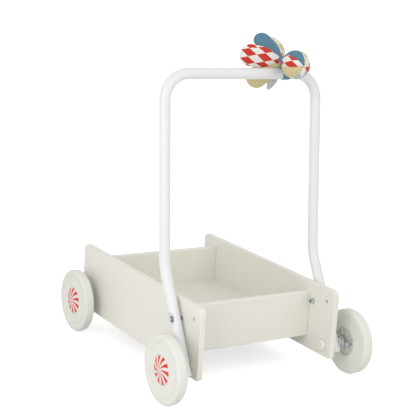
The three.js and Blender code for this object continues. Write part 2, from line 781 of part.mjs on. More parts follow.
// A stuffed ball along Y: its gores swell a little between their seams.
function gorePoint(angle, tilt) {
  const swell = goreSwell * Math.abs(Math.sin(angle * toyBallGores / 2)) * Math.cos(tilt);
  const radius = toyBallDiameter / 2 - goreSwell + swell;
  const around = radius * Math.cos(tilt);
  return new THREE.Vector3(around * Math.sin(angle), radius * Math.sin(tilt), around * Math.cos(angle));
}

// A closed surface from rings of points, with a pole at each end.
function ringedSurface(rings, startPole, endPole) {
  const count = rings[0].length;
  const points = [startPole, ...rings.flat(), endPole];
  const corners = [];
  const place = (row, column) => 1 + row * count + (column % count);
  for (let column = 0; column < count; column += 1) {
    corners.push(0, place(0, column + 1), place(0, column));
    for (let row = 0; row + 1 < rings.length; row += 1) {
      const [a, b] = [place(row, column), place(row, column + 1)];
      const [c, d] = [place(row + 1, column), place(row + 1, column + 1)];
      corners.push(a, b, d, a, d, c);
    }
    corners.push(points.length - 1, place(rings.length - 1, column), place(rings.length - 1, column + 1));
  }
  const geometry = new THREE.BufferGeometry().setFromPoints(points);
  geometry.setIndex(corners);
  return solidOf(geometry);
}

function stuffedBall() {
  const sides = stationsPerGore * toyBallGores;
  const rings = Array.from({ length: toyBallRings - 1 }, (_, row) => {
    const tilt = Math.PI * ((row + 1) / toyBallRings - 1 / 2);
    return Array.from({ length: sides }, (_, i) => gorePoint(2 * Math.PI * i / sides, tilt));
  });
  return ringedSurface(rings, gorePoint(0, -Math.PI / 2), gorePoint(0, Math.PI / 2));
}

// Turns a solid that was made along +X so that it points ahead, along +Y.
function pointAhead(solid) {
  return solid.rotate([0, 0, 90]);
}

// The ball with its inner space for the squeaker, open at the stuffing hole towards the neck.
function toyBall() {
  const half = squeakerHeight / 2 + seatGap;
  const cavity = pointAhead(drill(-half, half, squeakerDiameter / 2 + seatGap));
  const opening = pointAhead(rod(0, toyBallDiameter, stuffingHoleDiameter / 2));
  return cut(stuffedBall(), [cavity, opening]);
}

// A small bellows with folds round it.
function squeaker() {
  const outer = squeakerDiameter / 2;
  const foldHeight = squeakerHeight / squeakerFolds;
  const profile = [[-squeakerHeight / 2, 0]];
  for (let fold = 0; fold < squeakerFolds; fold += 1) {
    const start = -squeakerHeight / 2 + fold * foldHeight;
    profile.push([start, outer - squeakerFoldDepth], [start + foldHeight / 2, outer]);
  }
  profile.push([squeakerHeight / 2, outer - squeakerFoldDepth], [squeakerHeight / 2, 0]);
  return pointAhead(revolve(profile, roundSides));
}

// The neck runs from the ball over the bar to the core that the petals are sewn to. Its origin is on
// the toy's axis, straight above the bar. The ball and the loop cut into it.
function toyNeck() {
  const ballRadius = toyBallDiameter / 2;
  const coreRadius = toyCoreDiameter / 2;
  const ballFront = -toyBallBehindBar + ballRadius;
  const profile = [
    [ballFront - toyNeckInsideBall, 0], [ballFront - toyNeckInsideBall, toyNeckDiameter / 2],
    [ballFront, toyNeckDiameter / 2], [-toyNeckWaistBehindBar, toyNeckWaist / 2],
    [toyCoreAheadOfBar, toyNeckWaist / 2], [toyCoreAheadOfBar, 0],
  ];
  const core = new THREE.SphereGeometry(coreRadius, toyCoreSides, toyCoreSides / 2);
  core.translate(...coreCentre());
  const ballCut = new THREE.SphereGeometry(ballRadius + seatGap, 2 * toyCoreSides, toyCoreSides);
  ballCut.translate(0, -toyBallBehindBar, 0);
  const loopCut = drill(-toyNeckDiameter, toyNeckDiameter, loopOuterRadius() + seatGap, toyLoopSides);
  return cut(
    pointAhead(revolve(profile, toyCoreSides)).add(solidOf(core)),
    [solidOf(ballCut), at(loopCut, 0, 0, -toyAxisAboveBar)],
  );
}

function coreCentre() {
  return [toyCoreRightOfAxis, toyCoreAheadOfBar, toyCoreAboveAxis];
}

function loopOuterRadius() {
  return tubeRadius + seatGap + toyLoopWall;
}

// The cloth loop round the bar.
function toyLoop() {
  return ring(
    toyLoopLeftEdge, toyLoopRightEdge, loopOuterRadius(), tubeRadius + seatGap, toyLoopSides,
  );
}

// Half the petal's width as a share of its greatest, at a share of its length from root to tip.
function petalOutline(share) {
  const rootShare = petalRootWidth / petalWidth;
  if (share < petalWidestShare) {
    return rootShare + (1 - rootShare) * Math.sin((Math.PI / 2) * share / petalWidestShare);
  }
  const past = (share - petalWidestShare) / (1 - petalWidestShare);
  return Math.sqrt(Math.max(1 - past * past, 0));
}

// A stuffed petal along +X: narrow at its root, broad and round at its tip, thin along its side seams.
function petal(length) {
  const rootShare = petalRootThickness / petalThickness;
  const halfThickness = (share) => {
    const swell = rootShare + (1 - rootShare) * Math.sin(Math.PI * Math.min(share / petalWidestShare, 1) / 2);
    return petalThickness / 2 * swell * Math.sqrt(petalOutline(share) / Math.max(petalOutline(share), swell));
  };
  const midline = (share) => petalCup * share * share;
  const stationShare = (i) => Math.sin((Math.PI / 2) * i / petalStations);
  const rings = Array.from({ length: petalStations }, (_, station) => {
    const share = stationShare(station);
    return Array.from({ length: petalSides }, (_, i) => {
      const angle = 2 * Math.PI * i / petalSides;
      const bulge = Math.sin(angle) * Math.abs(Math.sin(angle));
      return new THREE.Vector3(
        length * share,
        petalWidth / 2 * petalOutline(share) * Math.cos(angle),
        midline(share) + halfThickness(share) * bulge,
      );
    });
  });
  return ringedSurface(
    rings, new THREE.Vector3(0, 0, midline(0)), new THREE.Vector3(length, 0, midline(1)),
  );
}

// One petal sewn to the core. It points outwards from the toy's axis and leans ahead by its sweep, and
// its upper face looks back towards the ball, turned about its own length by its roll.
function makePetal({ name, turn, sweep, roll, lengthShare, colour }) {
  const around = THREE.MathUtils.degToRad(turn);
  const lean = THREE.MathUtils.degToRad(sweep);
  const outwards = new THREE.Vector3(-Math.cos(around), 0, Math.sin(around));
  const along = outwards.clone().multiplyScalar(Math.cos(lean)).addScaledVector(AXIS_Y, Math.sin(lean));
  const face = outwards.clone().multiplyScalar(Math.sin(lean)).addScaledVector(AXIS_Y, -Math.cos(lean));
  face.applyAxisAngle(along, THREE.MathUtils.degToRad(roll));
  const across = new THREE.Vector3().crossVectors(face, along);
  const mesh = meshOf(name, petal(petalLength * lengthShare), cotton(colour));
  mesh.quaternion.setFromRotationMatrix(new THREE.Matrix4().makeBasis(along, across, face));
  mesh.position.set(...coreCentre()).addScaledVector(along, toyCoreDiameter / 2 + seatGap);
  return mesh;
}

function makeToy() {
  const ball = meshOf('toy_ball', toyBall(), checkCotton);
  const bellows = meshOf('toy_squeaker', squeaker(), nylon);
  ball.position.y = -toyBallBehindBar;
  bellows.position.y = -toyBallBehindBar;
  const flower = groupOf(
    ball, bellows, meshOf('toy_neck', toyNeck(), blueCotton), ...petalPlan.map(makePetal),
  );
  flower.position.z = toyAxisAboveBar;
  const toy = groupOf(flower, meshOf('toy_loop', toyLoop(), blueCotton));
  toy.position.set(toyAcross, barY, barHeight);
  return toy;
}

const cart = groupOf(
  makeBox(),
  makeHandle(),
  makeRearAxle(),
  makeFrontAxle(),
  makeWheel('rear_left', SIDES.left, rearWheelX, rearAxleY),
  makeWheel('rear_right', SIDES.right, rearWheelX, rearAxleY),
  makeWheel('front_left', SIDES.left, frontWheelX, frontAxleY),
  makeWheel('front_right', SIDES.right, frontWheelX, frontAxleY),
  makeToy(),
);
cart.name = 'push_cart';

export default cart;
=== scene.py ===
"""A wooden push cart for a toddler: smooth surfaces, paint, enamel, rubber, zinc and sewn cotton."""

import enum
import logging
import math
from dataclasses import dataclass, field
from typing import Callable, Iterable, Sequence

import bmesh
import bpy
import numpy as np
from mathutils import Matrix, Vector


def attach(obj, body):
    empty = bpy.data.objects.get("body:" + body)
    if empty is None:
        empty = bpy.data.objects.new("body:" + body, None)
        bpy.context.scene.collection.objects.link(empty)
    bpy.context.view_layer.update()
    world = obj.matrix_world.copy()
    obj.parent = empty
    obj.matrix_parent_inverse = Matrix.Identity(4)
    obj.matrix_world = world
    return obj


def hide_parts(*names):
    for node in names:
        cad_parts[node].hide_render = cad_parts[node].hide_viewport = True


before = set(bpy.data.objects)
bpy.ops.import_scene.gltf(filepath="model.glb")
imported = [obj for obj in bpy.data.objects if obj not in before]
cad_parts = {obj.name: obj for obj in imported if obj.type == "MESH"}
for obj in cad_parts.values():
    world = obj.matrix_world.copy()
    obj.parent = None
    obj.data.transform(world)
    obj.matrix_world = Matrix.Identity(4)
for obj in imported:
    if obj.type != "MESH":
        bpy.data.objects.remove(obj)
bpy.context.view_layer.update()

LOG = logging.getLogger("push_cart")
MM = 0.001  # metres in a millimetre; every size below is in millimetres
FIT = 0.3  # what two pieces that seat on each other leave between them
TINY = 0.02  # how near a closed end comes to its own axis
SIDES = ((-1, "left"), (1, "right"))

Place = tuple[float, float]  # on the cart: along it and above the floor
Profile = Sequence[Sequence[float]]


# ---------------------------------------------------------------------------------------------
# Surfaces
# ---------------------------------------------------------------------------------------------


@dataclass
class Patch:
    """Points in millimetres and the faces between them.

    Attributes:
        points: One row of x, y, z for each point.
        faces: The corners of each face, as places in points.
        maps: Flat map coordinates of each point, by the map's name.
        cloth: The place of each face's material in the piece's list of materials.
    """

    points: np.ndarray
    faces: list[list[int]]
    maps: dict[str, np.ndarray] = field(default_factory=dict)
    cloth: np.ndarray | None = None


@dataclass(frozen=True)
class Axis:
    """A line that round things are turned about, with the two directions that complete its frame."""

    origin: tuple[float, float, float]
    along: tuple[float, float, float] = (1.0, 0.0, 0.0)
    first: tuple[float, float, float] = (0.0, 1.0, 0.0)
    second: tuple[float, float, float] = (0.0, 0.0, 1.0)

    def place(self, along: np.ndarray, radius: np.ndarray, angle: np.ndarray) -> np.ndarray:
        """Points from their place along the line, their distance from it and their angle round it.

        Args:
            along: Distance along the line.
            radius: Distance from the line.
            angle: Angle round the line in radians, from the first direction to the second.

        Returns:
            The points, with x, y, z on the last axis.
        """
        spoke = np.cos(angle)[..., None] * np.array(self.first)
        spoke = spoke + np.sin(angle)[..., None] * np.array(self.second)
        return np.array(self.origin) + along[..., None] * np.array(self.along) + radius[..., None] * spoke


def side_axis(side: int, y: float = 0.0, z: float = 0.0, x: float = 0.0) -> Axis:
    """The axis across the cart that points outwards on its left (-1) or right (+1) side."""
    return Axis((side * x, y, z), (float(side), 0.0, 0.0))


def turns(count: int) -> np.ndarray:
    """Angles in radians, once round in even steps."""
    return np.arange(count) * 2 * np.pi / count


def unit(vector: np.ndarray) -> np.ndarray:
    """A vector brought to length 1."""
    return vector / np.linalg.norm(vector)


def eased(share: np.ndarray) -> np.ndarray:
    """A share from 0 to 1 that starts and ends gently: three times its square less twice its cube."""
    return share * share * (3 - 2 * share)


def grid_patch(grid: np.ndarray, around: bool = True, closed: bool = False, caps: bool = False) -> Patch:
    """A surface through a grid of points, row by row.

    Args:
        grid: The points, as rows x columns x 3.
        around: Whether the last column joins the first one.
        closed: Whether the last row joins the first one.
        caps: Whether a flat face closes the first row and the last one.

    Returns:
        The patch. Its points keep the grid's order.
    """
    rows, columns = grid.shape[:2]
    row, column = np.meshgrid(
        np.arange(rows if closed else rows - 1), np.arange(columns if around else columns - 1), indexing="ij")
    after, beside = (row + 1) % rows, (column + 1) % columns
    here, there = row * columns, after * columns
    corners = [here + column, here + beside, there + beside, there + column]
    faces = np.stack(corners, axis=-1).reshape(-1, 4).tolist()
    if caps:
        faces.append(np.arange(columns)[::-1].tolist())
        faces.append(((rows - 1) * columns + np.arange(columns)).tolist())
    return Patch(grid.reshape(-1, 3), faces)


def joined(patches: Sequence[Patch], cloths: Sequence[int] | None = None) -> Patch:
    """Several patches as one, each with its own points.

    Args:
        patches: The patches. Their maps have the same names.
        cloths: For each patch, the place of its material in the piece's list.

    Returns:
        The whole.
    """
    starts = np.cumsum([0] + [len(patch.points) for patch in patches])
    faces = [[start + corner for corner in face] for start, patch in zip(starts.tolist(), patches)
             for face in patch.faces]
    maps = {name: np.concatenate([patch.maps[name] for patch in patches]) for name in patches[0].maps}
    cloth = None if cloths is None else np.repeat(cloths, [len(patch.faces) for patch in patches])
    return Patch(np.concatenate([patch.points for patch in patches]), faces, maps, cloth)


def rounded(
    corners: Profile, radius: float | Sequence[float], steps: int = 5, closed: bool = True,
) -> np.ndarray:
    """A flat outline with its corners rounded.

    Each corner becomes an arc: the rational quadratic curve from the point before the corner to the
    point after it, with the corner weighted by the cosine of half the turn, which is a true circle.

    Args:
        corners: The outline's corners, two numbers each.
        radius: The arcs' radius, or one for each corner.
        steps: Steps in each arc.
        closed: Whether the outline runs back to its first corner.

    Returns:
        The outline's points, two numbers each.
    """
    here = np.asarray(corners, float)
    radii = np.broadcast_to(np.asarray(radius, float), (len(here),)).copy()
    if not closed:
        radii[[0, -1]] = 0.0
    back, ahead = np.roll(here, 1, 0) - here, np.roll(here, -1, 0) - here
    length_back = np.maximum(np.linalg.norm(back, axis=1), 1e-9)
    length_ahead = np.maximum(np.linalg.norm(ahead, axis=1), 1e-9)
    back, ahead = back / length_back[:, None], ahead / length_ahead[:, None]
    half = np.arccos(np.clip(-(back * ahead).sum(1), -1, 1)) / 2
    cut = np.minimum(radii * np.tan(half), 0.49 * np.minimum(length_back, length_ahead))
    start, end = here + back * cut[:, None], here + ahead * cut[:, None]
    t = np.linspace(0, 1, steps + 1)[None, :, None]
    weight = 2 * t * (1 - t) * np.cos(half)[:, None, None]
    bend = (1 - t) ** 2 * start[:, None] + weight * here[:, None] + t**2 * end[:, None]
    path = (bend / ((1 - t) ** 2 + weight + t**2)).reshape(-1, 2)
    keep = np.r_[True, np.linalg.norm(np.diff(path, axis=0), axis=1) > 1e-6]
    return path[keep]


def turned(
    axis: Axis, profile: np.ndarray, sides: int = 72, closed: bool = True,
    shape: Callable[[np.ndarray, np.ndarray, np.ndarray], np.ndarray] | None = None,
) -> Patch:
    """A round piece: its profile, carried once round the axis.

    Args:
        axis: The line that the profile is turned about.
        profile: Place along the line and distance from it, for each point.
        sides: Steps round the line.
        closed: Whether the profile runs back to its start, as in a ring. An open one has its ends capped.
        shape: Gives each point's distance from the line, from its place along the line, the profile's
            distance and its angle, where the piece isn't plainly round.

    Returns:
        The patch.
    """
    outline = np.asarray(profile, float)
    along, angle = np.meshgrid(outline[:, 0], turns(sides), indexing="ij")
    radius = np.repeat(outline[:, 1:2], sides, axis=1)
    if shape is not None:
        radius = shape(along, radius, angle)
    return grid_patch(axis.place(along, radius, angle), closed=closed, caps=not closed)


def ring(axis: Axis, start: float, end: float, outer: float, inner: float, edge: float = 0.3) -> Patch:
    """A ring between two places along its axis, with small round edges."""
    bore_edge = 0.1
    corners = [(start, inner), (start, outer), (end, outer), (end, inner)]
    return turned(axis, rounded(corners, (bore_edge, edge, edge, bore_edge)))


def rod(axis: Axis, start: float, end: float, radius: float, edge: float = 0.3) -> Patch:
    """A round rod between two places along its axis, with small round edges."""
    corners = [(start, TINY), (start, radius), (end, radius), (end, TINY)]
    return turned(axis, rounded(corners, edge, closed=False), closed=False)


def hexagon_rod(axis: Axis, start: float, end: float, across: float, chamfer: float = 0.0) -> Patch:
    """A hexagon rod. The distance from its axis is that of a hexagon's flats, over the cosine of the
    angle from the nearest flat's middle, and near the two ends no more than a cone allows.

    Args:
        axis: The rod's middle line.
        start: Where it starts along the line.
        end: Where it ends.
        across: Its width across the flats.
        chamfer: How far from each end the cone reaches the corners, or 0 for plain ends.

    Returns:
        The patch.
    """
    share = np.array([0.0, 0.35, 0.7, 1.0]) if chamfer else np.array([0.0])
    places = np.concatenate([start + chamfer * share, end - chamfer * share[::-1]])
    sixth, corner, face = np.pi / 3, across / math.sqrt(3), across / 2 * 0.97

    def shape(along: np.ndarray, _: np.ndarray, angle: np.ndarray) -> np.ndarray:
        flat = across / 2 / np.cos((angle + sixth / 2) % sixth - sixth / 2)
        depth = np.minimum(np.abs(along - start), np.abs(end - along))
        cone = face + (corner - face) * np.clip(depth / max(chamfer, 1e-6), 0, 1)
        return np.minimum(flat, cone) if chamfer else flat

    return turned(axis, np.c_[places, np.zeros(len(places))], 96, closed=False, shape=shape)


def slab(low: Place, high: Place, reach: float, edge: float, steps: int = 5) -> Patch:
    """A board across the cart: a rectangle between two of its corners, with its own corners rounded,
    carried as far to the left as to the right.

    Args:
        low: Its rear lower corner, along the cart and above the floor.
        high: Its front upper corner.
        reach: How far it runs to each side.
        edge: The radius of its long edges.
        steps: Steps in each edge.

    Returns:
        The board's closed surface.
    """
    outline = rounded([low, (high[0], low[1]), high, (low[0], high[1])], edge, steps)
    rows = [np.c_[np.full(len(outline), x), outline] for x in (-reach, reach)]
    return grid_patch(np.array(rows), caps=True)


# ---------------------------------------------------------------------------------------------
# Pieces
# ---------------------------------------------------------------------------------------------


class Body(enum.Enum):
    """The bodies that pieces ride on."""

    CART = "cart"
    REAR_LEFT = "wheel_rear_left"
    REAR_RIGHT = "wheel_rear_right"
    FRONT_LEFT = "wheel_front_left"
    FRONT_RIGHT = "wheel_front_right"
    LOOP = "loop"
    FLOWER = "flower"


def put(name: str, data: bpy.types.ID) -> bpy.types.Object:
    """An object of a mesh, a camera or a lamp, put in the scene."""
    item = bpy.data.objects.new(name, data)
    bpy.context.scene.collection.objects.link(item)
    return item


def mesh_object(name: str, patch: Patch) -> bpy.types.Object:
    """An object from a patch, with doubles merged and faces turned outwards.

    Args:
        name: The object's name.
        patch: Its surface, in millimetres.

    Returns:
        The object, at the origin.
    """
    mesh = bpy.data.meshes.new(name)
    mesh.from_pydata((patch.points * MM).tolist(), [], patch.faces)
    corners = np.empty(len(mesh.loops), np.int32)
    mesh.loops.foreach_get("vertex_index", corners)
    for map_name, values in patch.maps.items():
        layer = mesh.uv_layers.new(name=map_name)
        layer.data.foreach_set("uv", values[corners].astype(np.float32).ravel())
    if patch.cloth is not None:
        mesh.polygons.foreach_set("material_index", patch.cloth.astype(np.int32))
    work = bmesh.new()
    work.from_mesh(mesh)
    bmesh.ops.remove_doubles(work, verts=work.verts, dist=1e-6)
    bmesh.ops.dissolve_degenerate(work, edges=work.edges, dist=1e-7)
    bmesh.ops.recalc_face_normals(work, faces=work.faces)
    work.to_mesh(mesh)
    work.free()
    return put(name, mesh)


def vertices_of(item: bpy.types.Object) -> np.ndarray:
    """The points of an object's mesh, in metres."""
    points = np.empty(len(item.data.vertices) * 3, np.float32)
    item.data.vertices.foreach_get("co", points)
    return points.reshape(-1, 3).astype(float)


def settle(item: bpy.types.Object) -> None:
    """Makes what an object's modifiers show its own mesh, and takes the modifiers off."""
    bpy.context.view_layer.update()
    shown = item.evaluated_get(bpy.context.evaluated_depsgraph_get())
    mesh = bpy.data.meshes.new_from_object(shown)
    item.modifiers.clear()
    item.data = mesh


def carve(item: bpy.types.Object, tools: Iterable[Patch]) -> None:
    """Cuts closed tools out of a closed piece."""
    for tool in tools:
        cutter = mesh_object(f"{item.name}.cutter", tool)
        cut = item.modifiers.new("cut", "BOOLEAN")
        cut.operation, cut.solver, cut.object = "DIFFERENCE", "EXACT", cutter
        settle(item)
        bpy.data.objects.remove(cutter)


def smooth(item: bpy.types.Object, sharp: float = 38.0) -> None:
    """Smooth shading up to an angle in degrees, with wide faces kept flat."""
    item.data.shade_smooth()
    item.data.set_sharp_from_angle(angle=math.radians(sharp))
    item.modifiers.new("flat_faces", "WEIGHTED_NORMAL").keep_sharp = True


def finish_piece(item: bpy.types.Object, finishes: Sequence["Finish"], stands_for: str, body: Body) -> None:
    """Dresses a piece and ties it to its body.

    Args:
        item: The finished mesh object.
        finishes: Its finishes.
        stands_for: The solid that it replaces.
        body: The body that it rides on.
    """
    chosen = np.zeros(len(item.data.polygons), np.int32)
    item.data.polygons.foreach_get("material_index", chosen)
    item.data.materials.clear()
    for finish in finishes:
        item.data.materials.append(finish.material())
    item.data.polygons.foreach_set("material_index", np.minimum(chosen, len(finishes) - 1))
    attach(item, body.value)
    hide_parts(stands_for)
    LOG.info("%s: %d faces on %s", item.name, len(item.data.polygons), body.value)


def make_piece(
    name: str, patch: Patch, finish: "Finish | Sequence[Finish]", stands_for: str, body: Body = Body.CART,
    tools: Sequence[Patch] = (), sharp: float = 38.0,
) -> None:
    """A hard piece: its patch, what is cut from it, its shading and its finish.

    Args:
        name: The piece's name.
        patch: Its closed surface.
        finish: What it is made of, or the finishes that its faces choose from.
        stands_for: The solid that it replaces.
        body: The body that it rides on.
        tools: Closed surfaces that are cut out of it.
        sharp: The angle in degrees past which an edge stays sharp.
    """
    item = mesh_object(name, patch)
    carve(item, tools)
    smooth(item, sharp)
    finish_piece(item, [finish] if isinstance(finish, Finish) else finish, stands_for, body)


# ---------------------------------------------------------------------------------------------
# Finishes
# ---------------------------------------------------------------------------------------------


BLACK, WHITE = (0.0, 0.0, 0.0, 1.0), (1.0, 1.0, 1.0, 1.0)


def linear(hex_colour: str) -> tuple[float, float, float, float]:
    """An sRGB colour such as "e6e4d9" as linear red, green, blue and alpha."""
    channels = np.array([int(hex_colour[i : i + 2], 16) / 255 for i in (0, 2, 4)])
    light = np.where(channels <= 0.04045, channels / 12.92, ((channels + 0.055) / 1.055) ** 2.4)
    return (*(float(value) for value in light), 1.0)


def empty_tree(owner: bpy.types.Material | bpy.types.World) -> bpy.types.NodeTree:
    """The node tree of a material or a world, emptied."""
    owner.use_nodes = True
    owner.node_tree.nodes.clear()
    return owner.node_tree


def add_node(
    tree: bpy.types.NodeTree, kind: str, inputs: dict | None = None, **settings: object,
) -> bpy.types.Node:
    """Adds a node with its settings, and fills its inputs.

    Args:
        tree: The material's or world's node tree.
        kind: The node's type, without the word that all types start with.
        inputs: For each input, by name or place: a value, another node's output, or another node,
            which stands for its first output.
        settings: The node's own settings.

    Returns:
        The node.
    """
    node = tree.nodes.new(f"ShaderNode{kind}")
    for name, value in settings.items():
        setattr(node, name, value)
    for name, value in (inputs or {}).items():
        source = value.outputs[0] if isinstance(value, bpy.types.Node) else value
        if isinstance(source, bpy.types.NodeSocket):
            tree.links.new(source, node.inputs[name])
        else:
            node.inputs[name].default_value = source
    return node


def per_metre(size: float) -> float:
    """The texture scale at which a pattern repeats about every so many millimetres."""
    return 1 / (size * MM)


_MADE: dict[str, bpy.types.Material] = {}


@dataclass(frozen=True)
class Finish:
    """What a surface is made of. A subclass says how it is drawn.

    Attributes:
        name: The real material and how its surface was made.
        slot: The name of its slot. Nothing in this script reads it.
    """

    name: str
    slot: str

    def material(self) -> bpy.types.Material:
        """The material, made once."""
        if self.name not in _MADE:
            made = bpy.data.materials.new(self.name)
            tree = empty_tree(made)
            add_node(tree, "OutputMaterial", {0: add_node(tree, "BsdfPrincipled", self.draw(tree))})
            _MADE[self.name] = made
        return _MADE[self.name]

    def draw(self, tree: bpy.types.NodeTree) -> dict[str, object]:
        """What goes into the surface's shader, by the name of the input."""
        raise NotImplementedError


@dataclass(frozen=True)
class Coating(Finish):
    """A coat or a moulded skin: one colour that varies a little, with a fine relief.

    Attributes:
        colour: Its colour.
        shade: The colour that it varies towards.
        roughness: Its lowest and highest roughness.
        grain: The size of its relief in millimetres.
        depth: The depth of its relief in millimetres.
        patches: The size in millimetres of the areas that vary in colour.
        soft: How much light scatters below the surface.
        scatter: How far in millimetres that light goes.
    """

    colour: str = "ffffff"
    shade: str = "f4f4f4"
    roughness: tuple[float, float] = (0.4, 0.5)
    grain: float = 1.5
    depth: float = 0.02
    patches: float = 40.0
    soft: float = 0.0
    scatter: float = 1.5

    def draw(self, tree: bpy.types.NodeTree) -> dict[str, object]:
        """Varies the colour in wide patches, the roughness in smaller ones, and adds the relief."""
        place = add_node(tree, "TexCoord").outputs["Object"]
        wide, narrow, fine = (
            add_node(tree, "TexNoise", {"Vector": place, "Scale": per_metre(size), "Detail": detail})
            for size, detail in ((self.patches, 2.0), (self.patches / 4, 2.0), (self.grain, 3.0)))
        colours = {0: wide, 6: linear(self.colour), 7: linear(self.shade)}
        low, high = self.roughness
        return {
            "Base Color": add_node(tree, "Mix", colours, data_type="RGBA").outputs[2],
            "Roughness": add_node(tree, "MapRange", {0: narrow, 3: low, 4: high}),
            "Subsurface Weight": self.soft,
            "Subsurface Radius": (1.0, 0.9, 0.7),
            "Subsurface Scale": self.scatter * MM,
            "Normal": add_node(tree, "Bump", {"Height": fine, "Distance": self.depth * MM, "Strength": 1.0}),
        }


@dataclass(frozen=True)
class ZincPlate(Finish):
    """Zinc plating on steel: a cool metal whose crystals make it a little blotchy.

    Attributes:
        colour: The bright colour of the plating.
        dull: The colour where its crystals are dull.
        roughness: Its lowest and highest roughness.
        crystal: The size of its crystals in millimetres.
        grain: The size in millimetres of the grain that turning leaves in the steel.
        depth: The depth of that grain in millimetres.
    """

    colour: str = "d3d8dc"
    dull: str = "aeb4b9"
    roughness: tuple[float, float] = (0.22, 0.42)
    crystal: float = 2.0
    grain: float = 0.6
    depth: float = 0.02

    def draw(self, tree: bpy.types.NodeTree) -> dict[str, object]:
        """Mixes bright and dull crystals, and adds the faint grain of turned steel."""
        place = add_node(tree, "TexCoord").outputs["Object"]
        cells = add_node(tree, "TexVoronoi", {"Vector": place, "Scale": per_metre(self.crystal)})
        share = add_node(tree, "SeparateColor", {0: cells.outputs["Color"]})
        grain = add_node(tree, "TexNoise", {"Vector": place, "Scale": per_metre(self.grain), "Detail": 2.0})
        colours = {0: share, 6: linear(self.colour), 7: linear(self.dull)}
        low, high = self.roughness
        return {
            "Base Color": add_node(tree, "Mix", colours, data_type="RGBA").outputs[2],
            "Roughness": add_node(tree, "MapRange", {0: share, 3: low, 4: high}),
            "Metallic": 1.0,
            "Normal": add_node(tree, "Bump", {"Height": grain, "Distance": self.depth * MM, "Strength": 1.0}),
        }


@dataclass(frozen=True)
class PinwheelPrint(Finish):
    """Moulded cap with a printed pinwheel: curved arms that start thin and widen outwards.

    Attributes:
        ground: The cap's own colour.
        ink: The print's colour.
        arms: How many arms it has.
        bend: How far an arm turns on its way out, in radians.
        start: Where the arms start, as a share of the cap's radius.
        reach: Where they end.
        thin: The arms' share of the circle at their start.
        wide: Their share at their end.
        phase: How far they are turned, as a share of one arm.
        shift: Whole arms that are added before counting, so that no count is below 0.
        speck: The size in millimetres of the specks where the ink is thin.
        thinned: How much ink is left in the thinnest speck.
        worn: The size in millimetres of the areas that vary in roughness.
        roughness: Its lowest and highest roughness.
        grain: The size of its relief in millimetres.
        depth: The depth of its relief in millimetres.
    """

    ground: str = "e5e6e0"
    ink: str = "e42c04"
    arms: int = 10
    bend: float = 0.45
    start: float = 0.05
    reach: float = 0.94
    thin: float = 0.24
    wide: float = 0.54
    phase: float = 0.19
    shift: float = 20.0
    speck: float = 1.2
    thinned: float = 0.94
    worn: float = 8.0
    roughness: tuple[float, float] = (0.5, 0.6)
    grain: float = 1.0
    depth: float = 0.01

    def draw(self, tree: bpy.types.NodeTree) -> dict[str, object]:
        """Inks the part of each arm's section that lies within the arm's share, on the cap's own map,
        where the distance from the middle is 1 at the rim."""
        face = add_node(tree, "UVMap", uv_map="face")
        parts = add_node(tree, "SeparateXYZ", {0: face}).outputs
        radius = add_node(tree, "VectorMath", {0: face}, operation="LENGTH").outputs["Value"]
        angle = add_node(tree, "Math", {0: parts[1], 1: parts[0]}, operation="ARCTAN2")
        leant = add_node(tree, "Math", {0: radius, 1: self.bend, 2: angle}, operation="MULTIPLY_ADD")
        count = {0: leant, 1: self.arms / math.tau, 2: self.shift - self.phase}
        section = add_node(tree, "Math", {0: add_node(tree, "Math", count, operation="MULTIPLY_ADD")},
                           operation="FRACT")
        across = add_node(tree, "Math", {0: add_node(tree, "Math", {0: section, 1: 0.5}, operation="SUBTRACT")},
                          operation="ABSOLUTE")
        half = add_node(tree, "MapRange", {
            0: radius, 1: self.start, 2: self.reach, 3: self.thin / 2, 4: self.wide / 2})
        inked = add_node(tree, "Math", {0: across, 1: half}, operation="LESS_THAN")
        for limit, kind in ((self.reach, "LESS_THAN"), (self.start, "GREATER_THAN")):
            within = add_node(tree, "Math", {0: radius, 1: limit}, operation=kind)
            inked = add_node(tree, "Math", {0: inked, 1: within}, operation="MULTIPLY")
        place = add_node(tree, "TexCoord").outputs["Object"]
        specks, worn, fine = (
            add_node(tree, "TexNoise", {"Vector": place, "Scale": per_metre(size), "Detail": 2.0})
            for size in (self.speck, self.worn, self.grain))
        left = add_node(tree, "MapRange", {0: specks, 3: self.thinned, 4: 1.0})
        share = add_node(tree, "Math", {0: inked, 1: left}, operation="MULTIPLY")
        colours = {0: share, 6: linear(self.ground), 7: linear(self.ink)}
        low, high = self.roughness
        return {
            "Base Color": add_node(tree, "Mix", colours, data_type="RGBA").outputs[2],
            "Roughness": add_node(tree, "MapRange", {0: worn, 3: low, 4: high}),
            "Specular IOR Level": 0.1,
            "Normal": add_node(tree, "Bump", {"Height": fine, "Distance": self.depth * MM, "Strength": 1.0}),
        }


